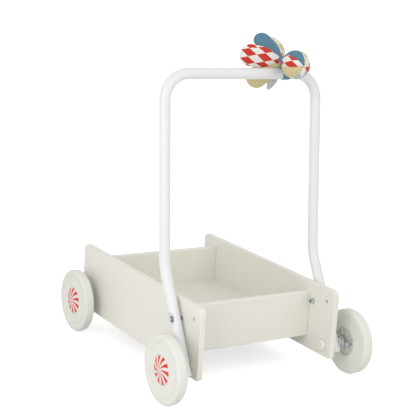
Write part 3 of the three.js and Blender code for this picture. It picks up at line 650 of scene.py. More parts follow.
@dataclass(frozen=True)
class Cotton(Finish):
    """Plain-woven cotton: dull, with a soft sheen at grazing angles and threads that differ a little.

    Attributes:
        colour: The cloth's colour.
        thread: The threads' spacing in millimetres. Real ones lie about 0.45 mm apart, which is too
            fine to show, so they are drawn this much coarser.
        fade: How much painted shade darkens the hollows between the threads.
        mottle: How much the dye varies over a few millimetres.
        stray: How far in millimetres a thread strays from its straight line.
        slub: How much a thicker place in a thread stands up, against a crossing.
        counts: How many strays of a thread, thicker places and clouds in the dye fall in one
            millimetre: one in 2.9, one in 1.1 and one in 5 mm.
        depth: The depth of the weave in millimetres.
    """

    colour: str = "ffffff"
    thread: float = 1.0
    fade: float = 0.16
    mottle: float = 0.5
    stray: float = 0.6
    slub: float = 0.6
    counts: tuple[float, float, float] = (0.35, 0.9, 0.2)
    depth: float = 0.22

    def cloth_colour(self, tree: bpy.types.NodeTree) -> object:
        """The colour before the threads shade it."""
        return linear(self.colour)

    def draw(self, tree: bpy.types.NodeTree) -> dict[str, object]:
        """Weaves the cloth on its own map in millimetres: the height is the product of a sine along the
        warp and one along the weft, so that every other crossing stands up. Painted shade darkens the low
        places."""
        weave = add_node(tree, "UVMap", uv_map="weave")
        uneven, slub, cloud = (
            add_node(tree, "TexNoise", {"Vector": weave, "Scale": count, "Detail": detail})
            for count, detail in zip(self.counts, (2.0, 3.0, 2.5)))
        stray = {0: uneven.outputs[1], 1: (self.stray, self.stray, 0.0)}
        bent = {0: weave, 1: add_node(tree, "VectorMath", stray, operation="MULTIPLY")}
        parts = add_node(tree, "SeparateXYZ", {0: add_node(tree, "VectorMath", bent, operation="ADD")}).outputs
        warp, weft = (
            add_node(tree, "Math", {0: add_node(
                tree, "Math", {0: part, 1: math.pi / self.thread}, operation="MULTIPLY")}, operation="SINE")
            for part in parts[:2])
        crossing = add_node(tree, "MapRange", {
            0: add_node(tree, "Math", {0: warp, 1: weft}, operation="MULTIPLY"), 3: 0.5, 4: 1.0})
        height = add_node(tree, "Math", {0: slub, 1: self.slub, 2: crossing}, operation="MULTIPLY_ADD")
        worn = add_node(
            tree, "Math", {0: cloud, 1: -self.mottle, 2: self.mottle / 2}, operation="MULTIPLY_ADD")
        # painted shade: the low places of the weave are drawn darker, and the dye's random mottle is added to
        # this darkening
        shade = add_node(tree, "MapRange", {0: height, 3: self.fade * 1.6, 4: -self.fade * 0.4})
        hollow = add_node(tree, "Math", {0: shade, 1: worn}, operation="ADD")
        colours = {0: hollow, 6: self.cloth_colour(tree), 7: BLACK}
        return {
            "Base Color": add_node(tree, "Mix", colours, data_type="RGBA").outputs[2],
            "Roughness": 0.88,
            "Sheen Weight": 0.2,
            "Sheen Roughness": 0.5,
            "Specular IOR Level": 0.25,
            "Normal": add_node(tree, "Bump", {"Height": height, "Distance": self.depth * MM, "Strength": 0.7}),
        }


@dataclass(frozen=True)
class HarlequinCotton(Cotton):
    """Cotton printed with long lozenges in two colours, each lozenge one unit long and one wide on the
    cloth's lozenge map.

    Attributes:
        second: The colour of the lozenges between.
        shift: An even number and a half, added before counting, so that no count is below 0.
    """

    second: str = "e9eae5"
    shift: float = 100.5

    def cloth_colour(self, tree: bpy.types.NodeTree) -> object:
        """The first colour where the whole parts of u + v + 1/2 and u - v + 1/2 are both even or both
        odd, and the second one elsewhere."""
        parts = add_node(tree, "SeparateXYZ", {0: add_node(tree, "UVMap", uv_map="lozenge")}).outputs
        counts = []
        for kind in ("ADD", "SUBTRACT"):
            place = add_node(tree, "Math", {0: parts[0], 1: parts[1]}, operation=kind)
            above = add_node(tree, "Math", {0: place, 1: self.shift}, operation="ADD")
            counts.append(add_node(tree, "Math", {0: above}, operation="FLOOR"))
        both = add_node(tree, "Math", {0: counts[0], 1: counts[1]}, operation="ADD")
        odd = add_node(tree, "Math", {0: both, 1: 2.0}, operation="MODULO")
        colours = {0: odd, 6: linear(self.colour), 7: linear(self.second)}
        return add_node(tree, "Mix", colours, data_type="RGBA").outputs[2]


BOARD_PAINT = Coating(  # satin paint sprayed on board: an even off-white with a faint orange peel
    "satin_paint_on_board", "painted_board", colour="ebe9e2", shade="e8e6dd", roughness=(0.38, 0.5),
    grain=2.4, depth=0.03, patches=90.0)
ENAMEL = Coating(  # powder coat baked on the steel tube: gloss white, with a fine soft peel
    "powder_coat_on_steel", "white_enamel", colour="e9eaeb", shade="e6e7e8", roughness=(0.3, 0.38),
    grain=1.8, depth=0.015, patches=60.0)
WHEEL_PLASTIC = Coating(  # moulded polypropylene: satin, faintly waxy, so it scatters a little light
    "moulded_polypropylene", "wheel_plastic", colour="e8e9e2", shade="e5e6dd", roughness=(0.42, 0.55),
    grain=1.2, depth=0.03, patches=30.0, soft=0.05)
TREAD_RUBBER = Coating(  # moulded thermoplastic rubber: matt and dry, in the hub's colour
    "moulded_rubber", "rubber", colour="e8e9e2", shade="e5e6dd", roughness=(0.6, 0.75),
    grain=0.9, depth=0.05, patches=25.0)
NYLON = Coating(  # moulded nylon: smooth, milky, with a low gloss
    "moulded_nylon", "nylon", colour="e9e7df", shade="e6e4dc", roughness=(0.24, 0.3),
    grain=1.0, depth=0.015, patches=12.0, soft=0.02)
BELLOWS_PLASTIC = Coating(  # blow-moulded polyethylene: thin, milky and waxy
    "blown_polyethylene", "squeaker_plastic", colour="eef0ec", shade="e6e9e4", roughness=(0.4, 0.5),
    grain=1.0, depth=0.02, patches=10.0, soft=0.2)
ZINC = ZincPlate("zinc_plate_on_steel", "zinc")  # bright electroplated zinc
SHADED_ZINC = ZincPlate(  # the same plating drawn dark grey: painted shade for the ring round each bolt head and the washers beside the legs
    "zinc_plate_darkened_with_painted_shade", "zinc", colour="868d91", dull="646b70", roughness=(0.35, 0.5))
CAP_PRINT = PinwheelPrint("printed_moulded_cap", "printed_cap")  # satin plastic with matt ink on it
BLUE_CLOTH = Cotton("woven_cotton_dusty_blue", "blue_cotton", colour="5a859a", mottle=1.0)  # dyed cotton
CREAM_CLOTH = Cotton("woven_cotton_straw", "cream_cotton", colour="d4c796")  # dyed cotton
GREY_CLOTH = Cotton("woven_cotton_off_white", "grey_cotton", colour="e2e4da")  # undyed cotton
MIST_CLOTH = Cotton("woven_cotton_pale_blue_grey", "grey_cotton", colour="c2cbc6")  # dyed cotton
RED_CHECK = HarlequinCotton(  # printed cotton, as are the two below
    "printed_cotton_red_and_white", "check_cotton", colour="cc3b2a")
STRAW_CHECK = HarlequinCotton("printed_cotton_straw_and_white", "cream_cotton", colour="d4c796")
GREY_CHECK = HarlequinCotton("printed_cotton_grey_and_white", "grey_cotton", colour="b3c6cb")


# ---------------------------------------------------------------------------------------------
# The cart's layout and its box
# ---------------------------------------------------------------------------------------------


@dataclass(frozen=True)
class Layout:
    """Sizes and places that several parts of the cart share."""

    panel_inner: float = 123.5
    panel_outer: float = 133.5
    leg_gap: float = 2.8
    rear_axle: Place = (-181.5, 55.0)
    front_axle: Place = (181.5, 55.0)
    axle_radius: float = 4.0
    cap_top: float = 116.3
    cap_radius: float = 9.11
    bar_bolt: Place = (-144.8, 121.1)
    bar: Place = (-70.8, 495.2)

    def beside_leg(self, side: int, place: Place, radius: float, bore: float) -> Patch:
        """A ring that fills the gap between a panel and a leg of the handle."""
        start, end = self.panel_outer + FIT, self.panel_outer + self.leg_gap - FIT
        return ring(side_axis(side, *place), start, end, radius, bore)


CART = Layout()


@dataclass
class Box:
    """Two side panels, two end boards and the base between them."""

    board: float = 10.0
    rear_y: float = -201.8
    front_y: float = 211.2
    foot: float = 34.7
    top: float = 152.7
    corner: float = 11.0
    corner_steps: int = 12
    foot_corner: float = 5.5
    edge: float = 2.0
    edge_steps: int = 7
    gap: float = 0.3
    bolt_hole: float = 2.8
    spare: Place = (-181.5, 130.6)
    spare_hole: float = 3.0
    overrun: float = 2.0
    end_rear: float = -136.3
    end_front: float = 165.9
    end_foot: float = 56.7
    end_top: float = 135.7
    base: tuple[float, float] = (64.3, 70.3)
    base_edge: float = 0.5
    base_groove: float = 4.0
    base_side_groove: float = 0.1
    notch: float = 1.5

    def panel_patch(self, side: int) -> Patch:
        """A side panel. Each row is the rounded rectangle drawn in by an inset, at a place across the
        board: a quarter circle of insets leads from each face round the edge.

        Args:
            side: -1 for the left panel, +1 for the right one.

        Returns:
            The panel's closed surface, without its holes.
        """
        arc = np.linspace(0, np.pi / 2, self.edge_steps)
        drawn_in, deep = self.edge * (1 - np.sin(arc)), self.edge * (1 - np.cos(arc))
        inset = np.concatenate([drawn_in, drawn_in[::-1]])
        x = np.concatenate([deep, self.board - deep[::-1]])
        points = self.corner_steps + 1
        quarter = np.linspace(0, np.pi / 2, points)
        turn = np.concatenate([quarter + place * np.pi / 2 for place in range(4)])
        radii = np.array([self.corner, self.corner, self.foot_corner, self.foot_corner])
        ends = np.array([self.front_y, self.rear_y, self.rear_y, self.front_y])
        heights = np.array([self.top, self.top, self.foot, self.foot])
        middle_y = np.repeat(ends + radii * [-1, 1, 1, -1], points)
        middle_z = np.repeat(heights + radii * [-1, -1, 1, 1], points)
        reach = np.repeat(radii, points) - inset[:, None]
        grid = np.stack(np.broadcast_arrays(
            side * (CART.panel_inner + x[:, None]),
            middle_y + reach * np.cos(turn), middle_z + reach * np.sin(turn)), axis=-1)
        return grid_patch(grid, caps=True)

    def hole(self, side: int, place: Place, radius: float) -> Patch:
        """A round hole through a panel, at a place along and above the cart."""
        start, end = CART.panel_inner - self.overrun, CART.panel_inner + self.board + self.overrun
        return rod(side_axis(side, *place), start, end, radius, 0.0)

    def cap_notch(self, side: int, axle: Place) -> Patch:
        """The room that an end board leaves round the cap of an axle bolt."""
        start, end = CART.cap_top - self.notch, CART.panel_inner + self.overrun
        return rod(side_axis(side, *axle), start, end, CART.cap_radius + self.notch, 0.0)

    def end_patch(self, y: float) -> Patch:
        """An end board between the panels."""
        reach = CART.panel_inner - self.gap
        return slab((y, self.end_foot), (y + self.board, self.end_top), reach, self.edge, self.edge_steps)

    def base_patch(self) -> Patch:
        """The base, which ends in shallow grooves of the four boards."""
        low = self.end_rear + self.board - self.base_groove, self.base[0]
        high = self.end_front + self.base_groove, self.base[1]
        return slab(low, high, CART.panel_inner + self.base_side_groove, self.base_edge)

    def make(self) -> None:
        """Makes the five boards."""
        axle_hole = CART.axle_radius + FIT
        for side, label in SIDES:
            holes = [self.hole(side, place, radius) for place, radius in (
                (CART.rear_axle, axle_hole), (CART.front_axle, axle_hole),
                (CART.bar_bolt, self.bolt_hole), (self.spare, self.spare_hole))]
            make_piece(
                f"panel_{label}", self.panel_patch(side), BOARD_PAINT, f"side_panel_{label}", tools=holes)
        for label, y, axle in (
            ("rear", self.end_rear, CART.rear_axle), ("front", self.end_front, CART.front_axle),
        ):
            notches = [self.cap_notch(side, axle) for side, _ in SIDES]
            make_piece(f"end_board_{label}", self.end_patch(y), BOARD_PAINT, f"{label}_board", tools=notches)
        make_piece("base", self.base_patch(), BOARD_PAINT, "base_board")


# ---------------------------------------------------------------------------------------------
# The handle
# ---------------------------------------------------------------------------------------------


@dataclass
class Handle:
    """The bent tube and the bolts that hold it to the panels."""

    radius: float = 9.0
    wall: float = 1.5
    lip: float = 0.35
    leg_x: float = 145.3
    knee: Place = (-103.3, 195.8)
    below_axle: float = 15.7
    knee_radius: float = 90.0
    corner_radius: float = 42.0
    bend_step: float = 2.0  # in degrees
    leg_step: float = 8.0
    seat_step: float = 0.4
    seat_reach: float = 12.0
    upper_step: float = 6.0
    long_step: float = 12.0
    bar_step: float = 10.0
    seat_radius: float = 7.0
    seat_depth: float = 3.8
    seat_blend: float = 4.0
    head_radius: float = 4.95
    head_height: float = 2.4
    head_edge: float = 0.7
    head_fullness: float = 0.9
    socket_radius: float = 2.2
    socket_depth: float = 1.0
    # the white insert in the bolt head's socket is a painted highlight; these four sizes shape it
    highlight_plug_play: float = 0.12
    highlight_plug_root: float = 0.1
    highlight_plug_rise: float = 0.7
    highlight_plug_dome: float = 0.45
    shank_radius: float = 2.5
    tip: float = 6.3
    tip_chamfer: float = 0.3
    washer_radius: float = 3.9
    bore: float = 2.7
    flange_radius: float = 4.9
    flange: float = 1.1
    flange_edge: float = 0.4
    nut_height: float = 5.0
    nut_across: float = 7.8
    nut_chamfer: float = 0.6
    overlap: float = 0.1

    def run(self, start: np.ndarray, end: np.ndarray, step: float) -> np.ndarray:
        """Points evenly from one place to another, without the last one."""
        count = max(int(np.ceil(np.linalg.norm(end - start) / step)), 1)
        return start + (end - start) * (np.arange(count) / count)[:, None]

    def bend(self, before: np.ndarray, corner: np.ndarray, after: np.ndarray, radius: float) -> np.ndarray:
        """The arc that rounds a corner, as the circle between the two lines from it.

        Args:
            before: A point on the first line.
            corner: Where the lines meet.
            after: A point on the second line.
            radius: The arc's radius.

        Returns:
            The arc's points.
        """
        back, ahead = unit(before - corner), unit(after - corner)
        half = np.arccos(np.clip(back @ ahead, -1, 1)) / 2
        centre = corner + unit(back + ahead) * radius / np.sin(half)
        start = corner + back * radius / np.tan(half) - centre
        turn = np.pi - 2 * half
        angle = np.linspace(0, turn, max(int(np.degrees(turn) / self.bend_step), 6))[:, None]
        return centre + start * np.cos(angle) - back * radius * np.sin(angle)

    def middle_line(self) -> np.ndarray:
        """The tube's middle line, from the foot of the left leg round to the foot of the right one."""
        knee, axle, corner, seat = (
            np.array([-self.leg_x, *place]) for place in (self.knee, CART.rear_axle, CART.bar, CART.bar_bolt))
        middle = np.array([0.0, *CART.bar])
        down = unit(axle - knee)
        foot = axle + down * self.below_axle
        low, high = seat + down * self.seat_reach, seat - down * self.seat_reach
        first = self.bend(foot, knee, corner, self.knee_radius)
        second = self.bend(knee, corner, middle, self.corner_radius)
        half = np.concatenate([
            self.run(foot, low, self.leg_step), self.run(low, high, self.seat_step),
            self.run(high, first[0], self.upper_step), first[:-1],
            self.run(first[-1], second[0], self.long_step), second[:-1],
            self.run(second[-1], middle, self.bar_step),
        ])
        mirror = (half * np.array([-1.0, 1.0, 1.0]))[::-1]
        return np.concatenate([half, middle[None], mirror])

    def sweep(self, line: np.ndarray, radius: float, seat_x: float, sides: int = 96) -> np.ndarray:
        """A circle carried along the middle line, pressed flat at the two bolt seats.

        The circle stands across the line. Its first direction is the part of the line's direction that
        lies in the Y-Z plane, turned by a right angle in that plane, so that it never twists. Near a seat
        each point further out than the seat's floor is drawn in to it, by a share that falls from 1
        inside the seat to 0 past its round edge.

        Args:
            line: The middle line.
            radius: The circle's radius.
            seat_x: How far from the middle of the cart the seat's floor lies.
            sides: Steps round the circle.

        Returns:
            The points, as stations x sides x 3.
        """
        ahead = np.gradient(line, axis=0)
        ahead /= np.linalg.norm(ahead, axis=1)[:, None]
        flat = ahead[:, 1:] * np.where(line[:, :1] <= 0, 1.0, -1.0)
        size = np.linalg.norm(flat, axis=1)[:, None]
        upper = unit(np.array(CART.bar) - np.array(self.knee))
        flat = np.where(size > 1e-3, flat / np.maximum(size, 1e-9), upper)
        first = np.c_[np.zeros(len(line)), -flat[:, 1], flat[:, 0]]
        second = np.cross(ahead, first)
        angle = turns(sides)[None, :, None]
        grid = line[:, None] + radius * (np.cos(angle) * first[:, None] + np.sin(angle) * second[:, None])
        away = np.hypot(grid[..., 1] - CART.bar_bolt[0], grid[..., 2] - CART.bar_bolt[1])
        share = eased(np.clip((self.seat_radius + self.seat_blend - away) / self.seat_blend, 0, 1))
        over = np.maximum(np.abs(grid[..., 0]) - seat_x, 0) * share
        grid[..., 0] -= np.sign(grid[..., 0]) * over
        return grid

    def tube_patch(self) -> Patch:
        """The tube's outside and its bore, joined at the two open feet by a round lip."""
        line = self.middle_line()
        floor = self.leg_x + self.radius - self.seat_depth
        outside, lip, inside = (
            self.sweep(line, self.radius - depth, floor - depth) for depth in (0, self.wall / 2, self.wall))
        first, last = unit(line[1] - line[0]) * self.lip, unit(line[-2] - line[-1]) * self.lip
        rows = np.concatenate([outside, lip[-1:] - last, inside[::-1], lip[:1] - first])
        return grid_patch(rows, closed=True)

    def bolt_patch(self, side: int) -> Patch:
        """The bolt with its round head, and in the head's socket a white nylon insert, which is a painted
        highlight. From its edge the head rises by a quarter sine of its turn while its radius shrinks from the
        edge's to the socket's."""
        seat = self.leg_x + self.radius - self.seat_depth + FIT
        turn = np.linspace(0, np.pi / 2, 12)
        rise = seat + self.head_edge + (self.head_height - self.head_edge) * np.sin(turn)
        wide = (self.head_radius - self.socket_radius) * np.cos(turn) ** self.head_fullness
        tip, shank = CART.panel_inner - self.tip, self.shank_radius
        foot = [[tip, shank - self.tip_chamfer], [tip + self.tip_chamfer, shank], [seat, shank],
                [seat, self.head_radius]]
        floor = rise[-1] - self.socket_depth
        crown = np.c_[rise, self.socket_radius + wide]
        steel = np.concatenate([foot, crown, [[floor, self.socket_radius]]])
        # painted highlight: a white insert in the socket
        highlight_plug_radius = self.socket_radius - self.highlight_plug_play
        dome = np.c_[floor + self.highlight_plug_rise + self.highlight_plug_dome * np.sin(turn), highlight_plug_radius * np.cos(turn)][:-1]
        highlight_plug = np.concatenate([[[floor - self.highlight_plug_root, highlight_plug_radius]], dome])
        axis = side_axis(side, *CART.bar_bolt)
        return joined([turned(axis, profile, closed=False) for profile in (steel, highlight_plug)], (0, 1))

    def nut_patch(self, side: int) -> Patch:
        """The nut on the panel's inner face, with its flange."""
        axis, face = side_axis(side, *CART.bar_bolt), CART.panel_inner - FIT
        hexagon_end = face - self.flange + self.overlap
        return joined([
            ring(axis, face - self.flange, face, self.flange_radius, self.bore, self.flange_edge),
            hexagon_rod(axis, face - self.nut_height, hexagon_end, self.nut_across, self.nut_chamfer),
        ])

    def make(self) -> None:
        """Makes the tube and, on each side, its bolt, washer and nut."""
        make_piece("push_bar", self.tube_patch(), ENAMEL, "handle_tube", sharp=50)
        for side, label in SIDES:
            # the bolt's steel is drawn dark grey: painted shade round its head
            make_piece(f"bar_bolt_{label}", self.bolt_patch(side), (SHADED_ZINC, NYLON), f"handle_bolt_{label}")
            # the washer is drawn dark grey: painted shade where the leg hides it
            washer = CART.beside_leg(side, CART.bar_bolt, self.washer_radius, self.bore)
            make_piece(f"bar_washer_{label}", washer, SHADED_ZINC, f"handle_leg_washer_{label}")
            make_piece(f"bar_nut_{label}", self.nut_patch(side), ZINC, f"handle_nut_{label}")


# ---------------------------------------------------------------------------------------------
# Axles, brake and wheels
# ---------------------------------------------------------------------------------------------


@dataclass
class RunningGear:
    """What sits on the axles between the panels and the wheels. Three numbers are a start and an end
    along the axle, from the middle of the cart, and a radius."""

    bore: float = 4.2
    cap_wall: float = 1.3
    cap_shoulder: float = 3.4
    cap_fall: float = 0.5
    spacer_radius: float = 6.5
    glide: tuple[float, float, float] = (154.6, 157.1, 7.75)
    glide_edge: float = 0.6
    collar: tuple[float, float, float] = (157.4, 168.0, 11.5)
    collar_chamfer: float = 0.9
    knurls: int = 60
    knurl_depth: float = 0.35
    knurl_steps: int = 6
    screw_x: float = 163.2
    screw_seat: float = 11.8
    screw_top: float = 18.4
    screw_radius: float = 4.25
    screw_edge: float = 0.6
    shank_radius: float = 2.5
    shank_overlap: float = 0.5
    socket_depth: float = 2.4
    socket_across: float = 3.7
    socket_overrun: float = 1.0
    front_spacer: tuple[float, float, float] = (133.8, 147.6, 8.0)
    front_spacer_edge: float = 0.5

    def cap_patch(self, axis: Axis) -> Patch:
        """The thin cap over an axle bolt's head: a low dome with a round shoulder and a hollow inside."""
        rim, top, radius = CART.panel_inner - FIT, CART.cap_top, CART.cap_radius
        floor, inside = top + self.cap_wall, radius - self.cap_wall
        corners = [(floor, TINY), (floor, inside), (rim, inside), (rim, radius), (top + self.cap_fall, radius),
                   (top, TINY)]
        return turned(axis, rounded(corners, (0, 0.5, 0.2, 0.4, self.cap_shoulder, 0), 9, closed=False),
                      closed=False)

    def collar_patch(self, axis: Axis) -> Patch:
        """The brake collar: a ring with chamfers, whose outside is drawn in along fine straight grooves
        by the cosine of the angle times their number."""
        start, end, radius = self.collar
        chamfer, bore = self.collar_chamfer, CART.axle_radius + FIT
        profile = rounded([
            (start, bore), (start, radius - chamfer), (start + chamfer, radius), (end - chamfer, radius),
            (end, radius - chamfer), (end, bore),
        ], (0.1, 0.2, 0.2, 0.2, 0.2, 0.1), 3)

        def shape(_: np.ndarray, plain: np.ndarray, angle: np.ndarray) -> np.ndarray:
            wave = self.knurl_depth * (0.5 - 0.5 * np.cos(angle * self.knurls))
            return np.where(plain > radius - chamfer / 3, plain - wave, plain)

        return turned(axis, profile, self.knurls * self.knurl_steps, shape=shape)

    def screw_patches(self, side: int) -> tuple[Patch, Patch]:
        """The brake's cap screw, which points to the rear, and the hexagon socket to cut into its head."""
        origin = (side * self.screw_x, *CART.rear_axle)
        axis = Axis(origin, (0.0, -1.0, 0.0), (1.0, 0.0, 0.0))
        start, seat, top = CART.axle_radius + self.shank_overlap, self.screw_seat, self.screw_top
        shank = rod(axis, start, seat + self.shank_overlap, self.shank_radius)
        head = rod(axis, seat, top, self.screw_radius, self.screw_edge)
        floor, past = top - self.socket_depth, top + self.socket_overrun
        return joined([shank, head]), hexagon_rod(axis, floor, past, self.socket_across)

    def make(self) -> None:
        """Makes the caps, spacers, glide rings, brake collars and screws of both sides."""
        def sleeve(axis: Axis, size: tuple[float, float, float], edge: float) -> Patch:
            return ring(axis, *size, self.bore, edge)

        for side, label in SIDES:
            rear, front = side_axis(side, *CART.rear_axle), side_axis(side, *CART.front_axle)
            spacer = CART.beside_leg(side, CART.rear_axle, self.spacer_radius, self.bore)
            screw, socket = self.screw_patches(side)
            for name, patch, finish, solid, tools, sharp in (
                ("rear_cap", self.cap_patch(rear), NYLON, "rear_axle_cap", (), 38),
                ("front_cap", self.cap_patch(front), NYLON, "front_axle_cap", (), 38),
                ("leg_spacer", spacer, NYLON, "rear_leg_spacer", (), 38),
                ("glide_ring", sleeve(rear, self.glide, self.glide_edge), NYLON, "rear_glide_ring", (), 38),
                ("brake_ring", self.collar_patch(rear), ZINC, "brake_collar", (), 30),
                ("brake_cap_screw", screw, ZINC, "brake_screw", (socket,), 38),
                ("front_distance", sleeve(front, self.front_spacer, self.front_spacer_edge), NYLON,
                 "front_spacer", (), 38),
            ):
                make_piece(f"{name}_{label}", patch, finish, f"{solid}_{label}", tools=tools, sharp=sharp)


@dataclass
class Wheel:
    """One wheel: tyre, hub, bush and printed cap. Places along it run from the middle of the tyre's bore
    outwards."""

    label: str
    side: int
    x: float
    y: float
    body: Body
    cap_turn: float = 0.0
    radius: float = 55.0
    edge: float = 0.2
    tyre_inner: float = -6.0
    tyre_outer: float = 12.0
    tyre_play: float = 0.1
    tyre_rise: float = 5.5
    shoulder: float = 6.0
    side_round: float = 20.0
    key_half: float = 3.0
    key_height: float = 2.0
    rim: float = 41.0
    hub_inner: float = -7.0
    hub_rim: float = -6.2
    hub_outer: float = 10.0
    hub_bore: float = 6.3
    recess: float = 24.0
    recess_floor: float = -2.0
    boss: float = 9.0
    boss_face: float = -5.4
    rib_top: float = -5.8
    ribs: int = 8
    rib_half: float = 1.1
    rib_sunk: float = 0.6
    rib_start: float = 0.2
    dish: float = 0.8
    pocket: float = 13.0
    pocket_floor: float = 1.2
    cap_seat: float = 9.2
    cap_radius: float = 24.0
    cap_dome: float = 4.2
    cap_edge: float = 1.0
    cap_wall: float = 1.4
    cap_middle: float = 0.004
    bush_face: float = -6.9
    bush_flange: float = 8.0
    bush_flange_width: float = 1.2

    @property
    def axis(self) -> Axis:
        """The wheel's own axis, pointing outwards."""
        return Axis((self.side * self.x, self.y, self.radius), (float(self.side), 0.0, 0.0))

    def tyre_patch(self) -> Patch:
        """The tyre: a flat tread between two quarter-round shoulders, an outer side that falls to the
        hub's face, and a rib in its bore."""
        outer, bore, key = self.tyre_outer, self.rim + self.tyre_play, self.key_half
        key_top = bore - self.key_height
        corners = [
            (self.hub_rim, bore), (self.tyre_inner, self.radius), (outer, self.radius),
            (outer, bore + self.tyre_rise), (self.hub_outer, bore), (key, bore), (key, key_top),
            (-key, key_top), (-key, bore),
        ]
        radii = (self.edge, self.shoulder, self.shoulder, self.side_round, *[self.edge] * 5)
        return turned(self.axis, rounded(corners, radii, 10), 128)

    def hub_patch(self) -> Patch:
        """The hub: rim with its groove, dished outer face, cap seat, nut pocket, bore, and on the inner
        side a round recess with a boss and ribs."""
        outer, seat, rim = self.hub_outer, self.cap_radius + FIT, self.rim
        groove, groove_floor = self.key_half + self.tyre_play, self.rim - self.key_height
        corners = [
            (self.recess_floor, self.boss), (self.recess_floor, self.recess), (self.hub_inner, self.recess),
            (self.hub_rim, rim), (-groove, rim), (-groove, groove_floor), (groove, groove_floor),
            (groove, rim), (outer, rim), (outer + self.dish, seat), (self.cap_seat, seat),
            (self.cap_seat, self.pocket), (self.pocket_floor, self.pocket),
            (self.pocket_floor, self.hub_bore), (self.boss_face, self.hub_bore), (self.boss_face, self.boss),
        ]
        radii = (0.8, 0.8, 1.2, *[self.edge] * 6, 0.3, 0.2, 0.3, 0.3, 0.3, 0.3, 0.6)
        return joined([turned(self.axis, rounded(corners, radii, 6), 128), *self.rib_patches()])

    def rib_patches(self) -> list[Patch]:
        """The recess's ribs: small rounded bars from the boss to the recess's wall, sunk into both and
        into the recess's floor."""
        half, foot = self.rib_half, self.recess_floor + self.rib_sunk
        outline = rounded(
            [(self.rib_top, -half), (self.rib_top, half), (foot, half), (foot, -half)], (0.7, 0.7, 0.1, 0.1))
        radius = np.array([[self.boss - self.rib_sunk], [self.recess + self.rib_sunk]])
        along, across = (np.broadcast_to(outline[:, i], (2, len(outline))) for i in (0, 1))
        away, lean = np.hypot(radius, across), np.arctan2(across, radius)
        return [grid_patch(self.axis.place(along, away, place * math.tau / self.ribs + self.rib_start + lean),
                           caps=True) for place in range(self.ribs)]

    def bush_patch(self) -> Patch:
        """The flanged sleeve in the hub's bore."""
        face, end, bore = self.bush_face, self.pocket_floor, CART.axle_radius + FIT
        flange, sleeve = face + self.bush_flange_width, self.hub_bore - FIT
        corners = [(face, bore), (face, self.bush_flange), (flange, self.bush_flange), (flange, sleeve),
                   (end, sleeve), (end, bore)]
        return turned(self.axis, rounded(corners, (0.3, 0.4, 0.3, 0.2, 0.2, 0.2)))

    def cap_patch(self) -> Patch:
        """The thin domed cap: its outside falls from the middle by the square of the distance, to a
        round rim, and its inside runs a wall's thickness below. Its map lays the seen face flat."""
        seat, rim, edge = self.cap_seat + FIT, self.cap_radius, self.cap_edge
        share = np.linspace(1, self.cap_middle, 24)
        dome, inner = self.cap_dome * (1 - share**2), rim - self.cap_wall
        outside = np.c_[seat + edge + dome, rim * share]
        bevel = [[seat, inner], [seat, rim - 0.2], [seat + edge * 0.5, rim - 0.05],
                 [seat + edge * 0.8, rim - 0.02]]
        inside = np.c_[seat + dome - FIT, inner * share][::-1]
        patch = turned(self.axis, np.concatenate([inside, bevel, outside]), 128, closed=False)
        across = (patch.points - np.array(self.axis.origin)) / rim
        turn = math.radians(self.cap_turn)
        flat = np.c_[across[:, 1] * self.side, across[:, 2]]
        patch.maps["face"] = flat @ [[math.cos(turn), math.sin(turn)], [-math.sin(turn), math.cos(turn)]]
        return patch

    def make(self) -> None:
        """Makes the wheel's four pieces."""
        for name, patch, finish, solid in (
            ("tread", self.tyre_patch(), TREAD_RUBBER, "tyre"),
            ("hub", self.hub_patch(), WHEEL_PLASTIC, "wheel_hub"),
            ("bush", self.bush_patch(), NYLON, "wheel_bush"),
            ("cap", self.cap_patch(), CAP_PRINT, "hub_cap"),
        ):
            make_piece(f"{name}_{self.label}", patch, finish, f"{solid}_{self.label}", self.body)


# ---------------------------------------------------------------------------------------------
# The flower
# ---------------------------------------------------------------------------------------------


@dataclass(frozen=True)
class Petal:
    """One stuffed petal, sewn from two cloths.

    Attributes:
        label: Its name.
        turn: The way it points round the flower's axis, in degrees from the cart's left upwards.
        sweep: How far it leans ahead, in degrees.
        roll: How far it is turned about its own length, in degrees.
        share: Its length as a share of the usual one.
        wide: Its width as a share of the usual one.
        front: The cloth of the face that looks back towards the ball.
        back: The cloth of the other face.
        print_at: Where a lozenge of the print has its middle, along the petal and across it.
    """

    label: str
    turn: float
    sweep: float
    roll: float
    share: float
    wide: float
    front: Finish
    back: Finish
    print_at: tuple[float, float] = (48.4, -4.0)


@dataclass(frozen=True)
class Gore:
    """One section of the ball, from one seam to the next, in degrees from the cart's right upwards."""

    start: float
    end: float
    cloth: Finish
    print_at: tuple[float, float] = (0.0, 0.0)


PETALS = (
    Petal("check", 6.0, 34, 0, 1.09, 1.04, RED_CHECK, CREAM_CLOTH, (50.2, -4.0)),
    Petal("blue", 56, 50, 8, 0.96, 0.92, BLUE_CLOTH, GREY_CLOTH),
    Petal("cream", 116, 61, -8, 0.94, 1.0, STRAW_CHECK, GREY_CLOTH, (30.0, 6.0)),
    Petal("red", 190, 30, 15, 0.85, 1.0, RED_CHECK, BLUE_CLOTH, (40.0, 2.0)),
    Petal("grey", 264, 42, -27, 1.0, 1.0, MIST_CLOTH, GREY_CLOTH),
    Petal("yellow", 314.5, 33, 24, 1.05, 1.04, CREAM_CLOTH, RED_CHECK, (44.0, 0.0)),
)

GORES = (
    Gore(15, 80, STRAW_CHECK, (28.5, 6.0)),
    Gore(80, 134, BLUE_CLOTH),
    Gore(134, 187, RED_CHECK, (23.7, 4.7)),
    Gore(187, 248, CREAM_CLOTH),
    Gore(248, 306, GREY_CHECK, (23.5, 6.0)),
    Gore(306, 375, RED_CHECK, (15.5, -0.3)),
)

CLOTH_SETTINGS = {
    "quality": 6, "mass": 0.2, "tension_stiffness": 20, "compression_stiffness": 12, "shear_stiffness": 6,
    "bending_stiffness": 0.25, "air_damping": 2.0, "use_pressure": True, "uniform_pressure_force": 4.0,
    "vertex_group_mass": "root",
}


